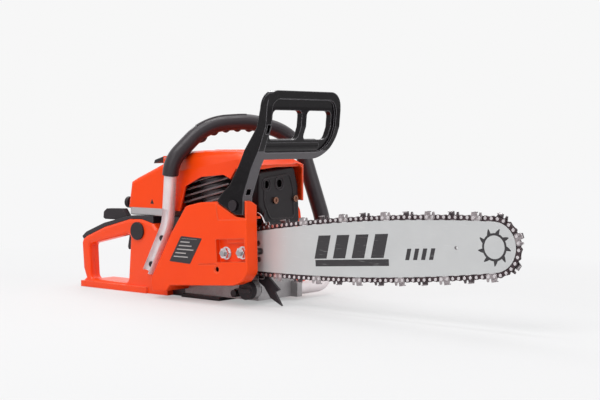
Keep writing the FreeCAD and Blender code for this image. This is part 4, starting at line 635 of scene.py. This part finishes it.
def label_finish():
    """Dark film with pale stripes; a stripe's length is 0.4 + 0.45 fraction(step row)."""
    finish = Finish("label_film")
    left, bottom = PRINT_START
    rise = finish.axis("Z") - bottom
    row = rise / ROW_HEIGHT
    across = (finish.axis("X") - left - rise * PRINT_LEAN) / PRINT_WIDTH
    length = 0.4 + 0.45 * (row.math("FLOOR") * LENGTH_STEP).math("FRACT")
    stripe = row.math("FRACT").between(*STRIPE_IN_ROW) * row.between(*PRINTED_ROWS)
    printed = stripe * across.between(*MARGINS) * (across < length + MARGINS[0])
    worn = finish.noise(1.4 * MM, 4)
    film = finish.blend(worn, shade(26, 22, 26), shade(44, 39, 43))
    finish.set({
        "Base Color": finish.blend(printed * 0.8, film, shade(196, 190, 188)),
        "Roughness": 0.30 + 0.2 * worn,
        "Normal": finish.bump(worn, 0.02 * MM),
    })
    return finish.material


label_film = label_finish()
print("label finish:", label_film.name)

# %% [markdown]
# ## Label plates
# The clutch cover has the striped label and the filter cover a small dark triangle. Each plate
# is its outline at three depths: the back, which sinks into the cover a little, the shoulder,
# and a slightly smaller face.

# %% Plates on the covers
PLATE_LAYERS = ((-0.2, 1), (0.7, 1), (1, 0.985))
LABEL_CORNERS = ((-38.8, 54.8), (1.4, 53.2), (24.5, 89.6), (-15.9, 90.9))
MARK_CORNERS = ((-116.5, 130.5), (-109.5, 130.5), (-113, 137.5))


def side_plate(name, node, corners, radius, thickness, finish):
    """A thin plate on a solid's surface that faces -Y; corners are (x, z) in millimetres.

    A layer (depth, size) is the outline scaled by size, depth times the thickness outward.
    """
    loop = rounded_corners(np.array(corners) * MM, radius)
    middle = loop.mean(0)
    face_y = surface_point(node, (middle[0], -0.2, middle[1]), (0, 1, 0))[1]
    rings = []
    for depth, size in PLATE_LAYERS:
        flat = middle + (loop - middle) * size
        y = np.full(len(flat), face_y - depth * thickness)
        rings.append(np.stack([flat[:, 0], y, flat[:, 1]], -1))
    skin(name, np.array(rings), finish)
    print(name, "lies at y =", round(face_y, 4))


side_plate("cover_label", "clutch_cover", LABEL_CORNERS, 2 * MM, 0.35 * MM, label_film)
side_plate("filter_mark", "air_filter_cover", MARK_CORNERS, 0.8 * MM, 0.3 * MM, matte_black)

# %% [markdown]
# ## The front handle's sleeve
# The foam-like rubber sleeve has a flat inset on top, where its mould parts, and low finger
# bumps underneath. Lines dropped onto the sleeve find its top and its underside, so that the
# inset and the bumps follow its bend.

# %% Sleeve details
HOOP_FOOT = np.array([-51.2, -22.9, 0.0]) * MM
HOOP_ALONG = np.array([0.5928, 0.8054, 0.0])
INSET_CORNERS = ((-6.5, -2.2), (6.5, -2.2), (5.2, 0.35), (-5.2, 0.35))
BUMP_RADIUS = 4.6 * MM
BUMP_DEPTH = 2 * MM
BUMP_HALF = 7
BUMP_RINGS = 13


def sleeve_line(reaches, below=False):
    """The sleeve's top or underside at distances along the hoop, seen from above."""
    start_height, down = (0.1, 1) if below else (0.4, -1)
    return np.array([
        surface_point("front_handle_grip", HOOP_FOOT + HOOP_ALONG * reach + [0, 0, start_height],
                      (0, 0, down)) for reach in reaches])


top_line = sleeve_line(np.linspace(36, 108, 19) * MM)
skin("sleeve_inset", carried(top_line, rounded_corners(INSET_CORNERS, 0.6) * MM), matte_black)
swell = BUMP_RADIUS * np.sin(np.linspace(0.12, math.pi - 0.12, BUMP_RINGS))
for number, middle in enumerate(np.linspace(46, 112, 5)):
    reaches = np.linspace(middle - BUMP_HALF, middle + BUMP_HALF, BUMP_RINGS) * MM
    low_line = sleeve_line(reaches, below=True) + [0, 0, BUMP_DEPTH]
    skin(f"sleeve_bump_{number}", swelling(low_line, ring(1.0), swell), rubber)
print("sleeve inset:", len(top_line), "rings; bumps:", number + 1)

# %% [markdown]
# ## The brake's return wire
# A short bright wire shows between the clutch cover's nose and the muffler guard. It's a ring
# of points carried along a bent line.

# %% Return wire
WIRE_BEND = np.array([[95.5, -4, 125.6], [105.5, -4, 123.5], [107.5, -4, 112.5]]) * MM
WIRE_RADIUS = 0.9 * MM
wire_line = bent(*WIRE_BEND, np.linspace(0, 1, 15)[:, None])
skin("return_wire", carried(wire_line, ring(WIRE_RADIUS, 12), (0, 1, 0)), bright_steel)
print("wire length", round(float(np.linalg.norm(np.diff(wire_line, axis=0), axis=1).sum()), 4))

# %% [markdown]
# ## Ribs on the roof
# Three low ribs stiffen the cylinder cover's flat roof. Their paths are dropped onto the roof,
# so they follow its slight fall, and they fade out at both ends because their width does.

# %% Roof ribs
RIB_PLACES = (26 * MM, 42 * MM, 58 * MM)
RIB_REACHES = np.linspace(-12, 46, 25) * MM
RIB_SECTION = ring(1.0, 14) * [2.6 * MM, 1.2 * MM]
fade = np.sin(np.linspace(0.05, math.pi - 0.05, len(RIB_REACHES))) ** 0.4
for number, y in enumerate(RIB_PLACES):
    spine = np.array([surface_point("top_cover", (x, y, 0.4), (0, 0, -1)) for x in RIB_REACHES])
    skin(f"roof_rib_{number}", swelling(spine, RIB_SECTION, fade), orange)
print("roof ribs end at z =", round(float(spine[-1, 2]), 4))

# %% [markdown]
# ## Cover screws
# Four pan-head screws hold the starter's cover. Each is a stack of rings: the rim, the domed
# top and the socket that a key fits into.

# %% Starter cover screws
SCREW_PLACES = ((-46, 20), (62, 20), (58, 112), (-47, 84))
SCREW_PROFILE = ((4.4, -0.4), (4.4, 1.4), (3.7, 2.1), (2.2, 2.3), (1.9, 0.9))
STARTER_FACE = surface_point("starter_cover", (-46 * MM, 0.3, 20 * MM), (0, -1, 0))[1]
for number, (x, z) in enumerate(SCREW_PLACES):
    rings = []
    for radius, height in SCREW_PROFILE:
        circle = ring(radius, 24) + [x, z]
        y = np.full(len(circle), height)
        rings.append(np.stack([circle[:, 0], y, circle[:, 1]], -1))
    skin(f"cover_screw_{number}", np.array(rings) * MM + [0, STARTER_FACE, 0], black_steel)
print("starter cover face at y =", round(STARTER_FACE, 4))

# %% [markdown]
# ## The muffler shield's bead
# The pressed shield is stiffened by a low bead that follows its outline, and each outlet hole
# has a rolled lip. Both are a flat round section, half of it sunk into the face, carried along
# a closed loop.

# %% Shield bead and lips
SHIELD_FACE = surface_point("muffler_guard", (0.2, 0.055, 0.15), (-1, 0, 0))[0]
BEAD_CORNERS = ((12.5, 138), (24.5, 115.5), (74.5, 115.5), (72.5, 157), (64.5, 176.5),
                (12.5, 171.5))
OUTLETS = ((17, 163), (44, 164))
LIP_HALF = 8.5


def face_loop(name, corners, radius, width, height, finish):
    """Rings P + outward width cos t + forward height sin t round a loop on the shield's face.

    Corners are (y, z) and every size is in millimetres.
    """
    loop = rounded_corners(corners, radius, 8) * MM
    centre = np.column_stack([np.full(len(loop), SHIELD_FACE), loop])
    along = np.roll(centre, -1, 0) - np.roll(centre, 1, 0)
    along /= np.linalg.norm(along, axis=1, keepdims=True)
    forward = np.array([1, 0, 0])
    outward = np.cross(along, forward)
    section = ring(1.0, 12) * [width * MM, height * MM]
    rings = centre[:, None] + outward[:, None] * section[:, :1] + forward * section[:, 1:]
    skin(name, rings, finish, loop=True)


face_loop("shield_bead", BEAD_CORNERS, 7, 1.5, 1.1, shield_black)
for number, middle in enumerate(OUTLETS):
    square = np.array([(-1, -1), (1, -1), (1, 1), (-1, 1)]) * LIP_HALF
    face_loop(f"shield_lip_{number}", square + middle, 8.4, 1.1, 0.9, black_steel)
print("shield face at x =", round(SHIELD_FACE, 4))

# %% [markdown]
# ## The floor
# The saw stands on a pale sweep of paper. Near the saw the paper is lit, so that it keeps the
# soft shadow, and farther out it glows evenly at the same tone, so that no horizon shows.

# %% Floor
PAPER = 0.93
LIT_PAPER = (0.62, 0.62, 0.625, 1)
SHADOW_CENTRE = (0.12, 0.05)
NEAR_GLOW = 0.4
GLOW_REACH = (0.45, 1.1)


def paper_finish():
    """Lit paper with a share of even glow: NEAR_GLOW near the middle, all of it farther out."""
    finish = Finish("paper_sweep")
    finish.set({"Base Color": LIT_PAPER, "Roughness": 0.9, "Specular IOR Level": 0.1})
    x, y = SHADOW_CENTRE
    offset = finish.node("ShaderNodeMapping", {}, {
        "Vector": finish.place, "Location": (-x, -y, 0), "Scale": (1.0, 1.3, 0)})
    distance = finish.node("ShaderNodeVectorMath", {"operation": "LENGTH"}, {0: offset},
                           output="Value")
    far = finish.ramp(distance, *GLOW_REACH)
    seen = finish.node("ShaderNodeLightPath", output="Is Camera Ray")
    glow = finish.node("ShaderNodeEmission", {}, {"Color": (PAPER, PAPER, PAPER * 1.005, 1)})
    mixed = finish.node("ShaderNodeMixShader", {}, {
        0: (NEAR_GLOW + (1 - NEAR_GLOW) * far) * seen,
        1: Wire(finish, finish.shader.outputs[0]), 2: glow})
    finish.feed(finish.tree.nodes["Material Output"].inputs["Surface"], mixed)
    return finish.material


bpy.ops.mesh.primitive_plane_add(size=12)
floor = bpy.context.object
floor.name = "paper_floor"
floor.data.materials.append(paper_finish())
print("floor:", floor.name)

# %% [markdown]
# ## The room's own light
# A white studio lights the saw from every side, weakly. To the eye and in mirrors it looks as
# pale as the paper, so the world has two strengths, chosen by the kind of ray that meets it.

# %% World
FILL = 0.52


def studio_world():
    """PAPER for camera, mirror and glass rays, and FILL for everything else."""
    world = bpy.data.worlds.new("studio")
    world.use_nodes = True
    tree = world.node_tree
    path = tree.nodes.new("ShaderNodeLightPath")
    direct = path.outputs["Is Camera Ray"]
    for kind in ("Is Glossy Ray", "Is Transmission Ray"):
        either = tree.nodes.new("ShaderNodeMath")
        either.operation = "MAXIMUM"
        tree.links.new(direct, either.inputs[0])
        tree.links.new(path.outputs[kind], either.inputs[1])
        direct = either.outputs[0]
    strength = tree.nodes.new("ShaderNodeMapRange")
    strength.inputs["To Min"].default_value = FILL
    strength.inputs["To Max"].default_value = PAPER
    tree.links.new(direct, strength.inputs["Value"])
    background = tree.nodes["Background"]
    background.inputs["Color"].default_value = (1, 1, 1, 1)
    tree.links.new(strength.outputs[0], background.inputs["Strength"])
    return world


bpy.context.scene.world = studio_world()
print("world:", bpy.context.scene.world.name)

# %% [markdown]
# ## Softboxes
# Gloss only reads when something bright is mirrored in it. Broad lamps light the covers evenly,
# and the narrow ones, strip and edge, draw thin lines along the guard, the sleeve and the bar.

# %% Lamps
LAMPS = (
    ("key", (0.1, -1.2, 1.7), (0.1, 0, 0.1), (1.2, 1.2), 17),
    ("top", (-0.2, 0.6, 1.9), (0.0, 0, 0.1), (1.6, 1.6), 12),
    ("side", (1.9, 0.2, 0.9), (0.1, 0, 0.15), (0.6, 0.6), 9),
    ("strip", (0.0, -0.1, 1.6), (0.0, 0, 0.1), (1.3, 0.22), 7),
    ("edge", (0.5, -1.9, 0.5), (0.0, 0, 0.15), (0.12, 0.8), 3),
    ("back", (-1.3, 0.9, 1.3), (0.0, 0, 0.15), (0.9, 0.35), 8),
)


def softbox(name, place, target, size, watts):
    """An area lamp of a width and a height at `place` that faces `target`."""
    lamp = bpy.data.lights.new(name, "AREA")
    lamp.shape = "RECTANGLE"
    lamp.size, lamp.size_y = size
    lamp.energy = watts
    box = bpy.data.objects.new(name, lamp)
    direction = np.array(target) - np.array(place)
    yaw = math.atan2(direction[1], direction[0]) - math.pi / 2
    pitch = math.atan2(math.hypot(*direction[:2]), -direction[2])
    box.location = place
    box.rotation_euler = (pitch, 0, yaw)
    bpy.context.scene.collection.objects.link(box)


for lamp in LAMPS:
    softbox(*lamp)
print("lamps:", [lamp[0] for lamp in LAMPS])

# %% [markdown]
# ## The camera
# A long lens from a low place, half in front of the saw, keeps the bar's edges nearly parallel
# and shows the clutch cover, the guard and the whole chain.

# %% Camera
lens = bpy.data.cameras.new("camera")
lens.lens = 78
lens.sensor_width = 36
camera = bpy.data.objects.new("camera", lens)
camera.location = (1.2605, -1.3035, 0.2345)
camera.rotation_euler = (math.radians(87), 0, math.radians(40))
bpy.context.scene.collection.objects.link(camera)
bpy.context.scene.camera = camera
bpy.context.scene.view_settings.view_transform = "Standard"
print("camera at", tuple(camera.location))

# %% [markdown]
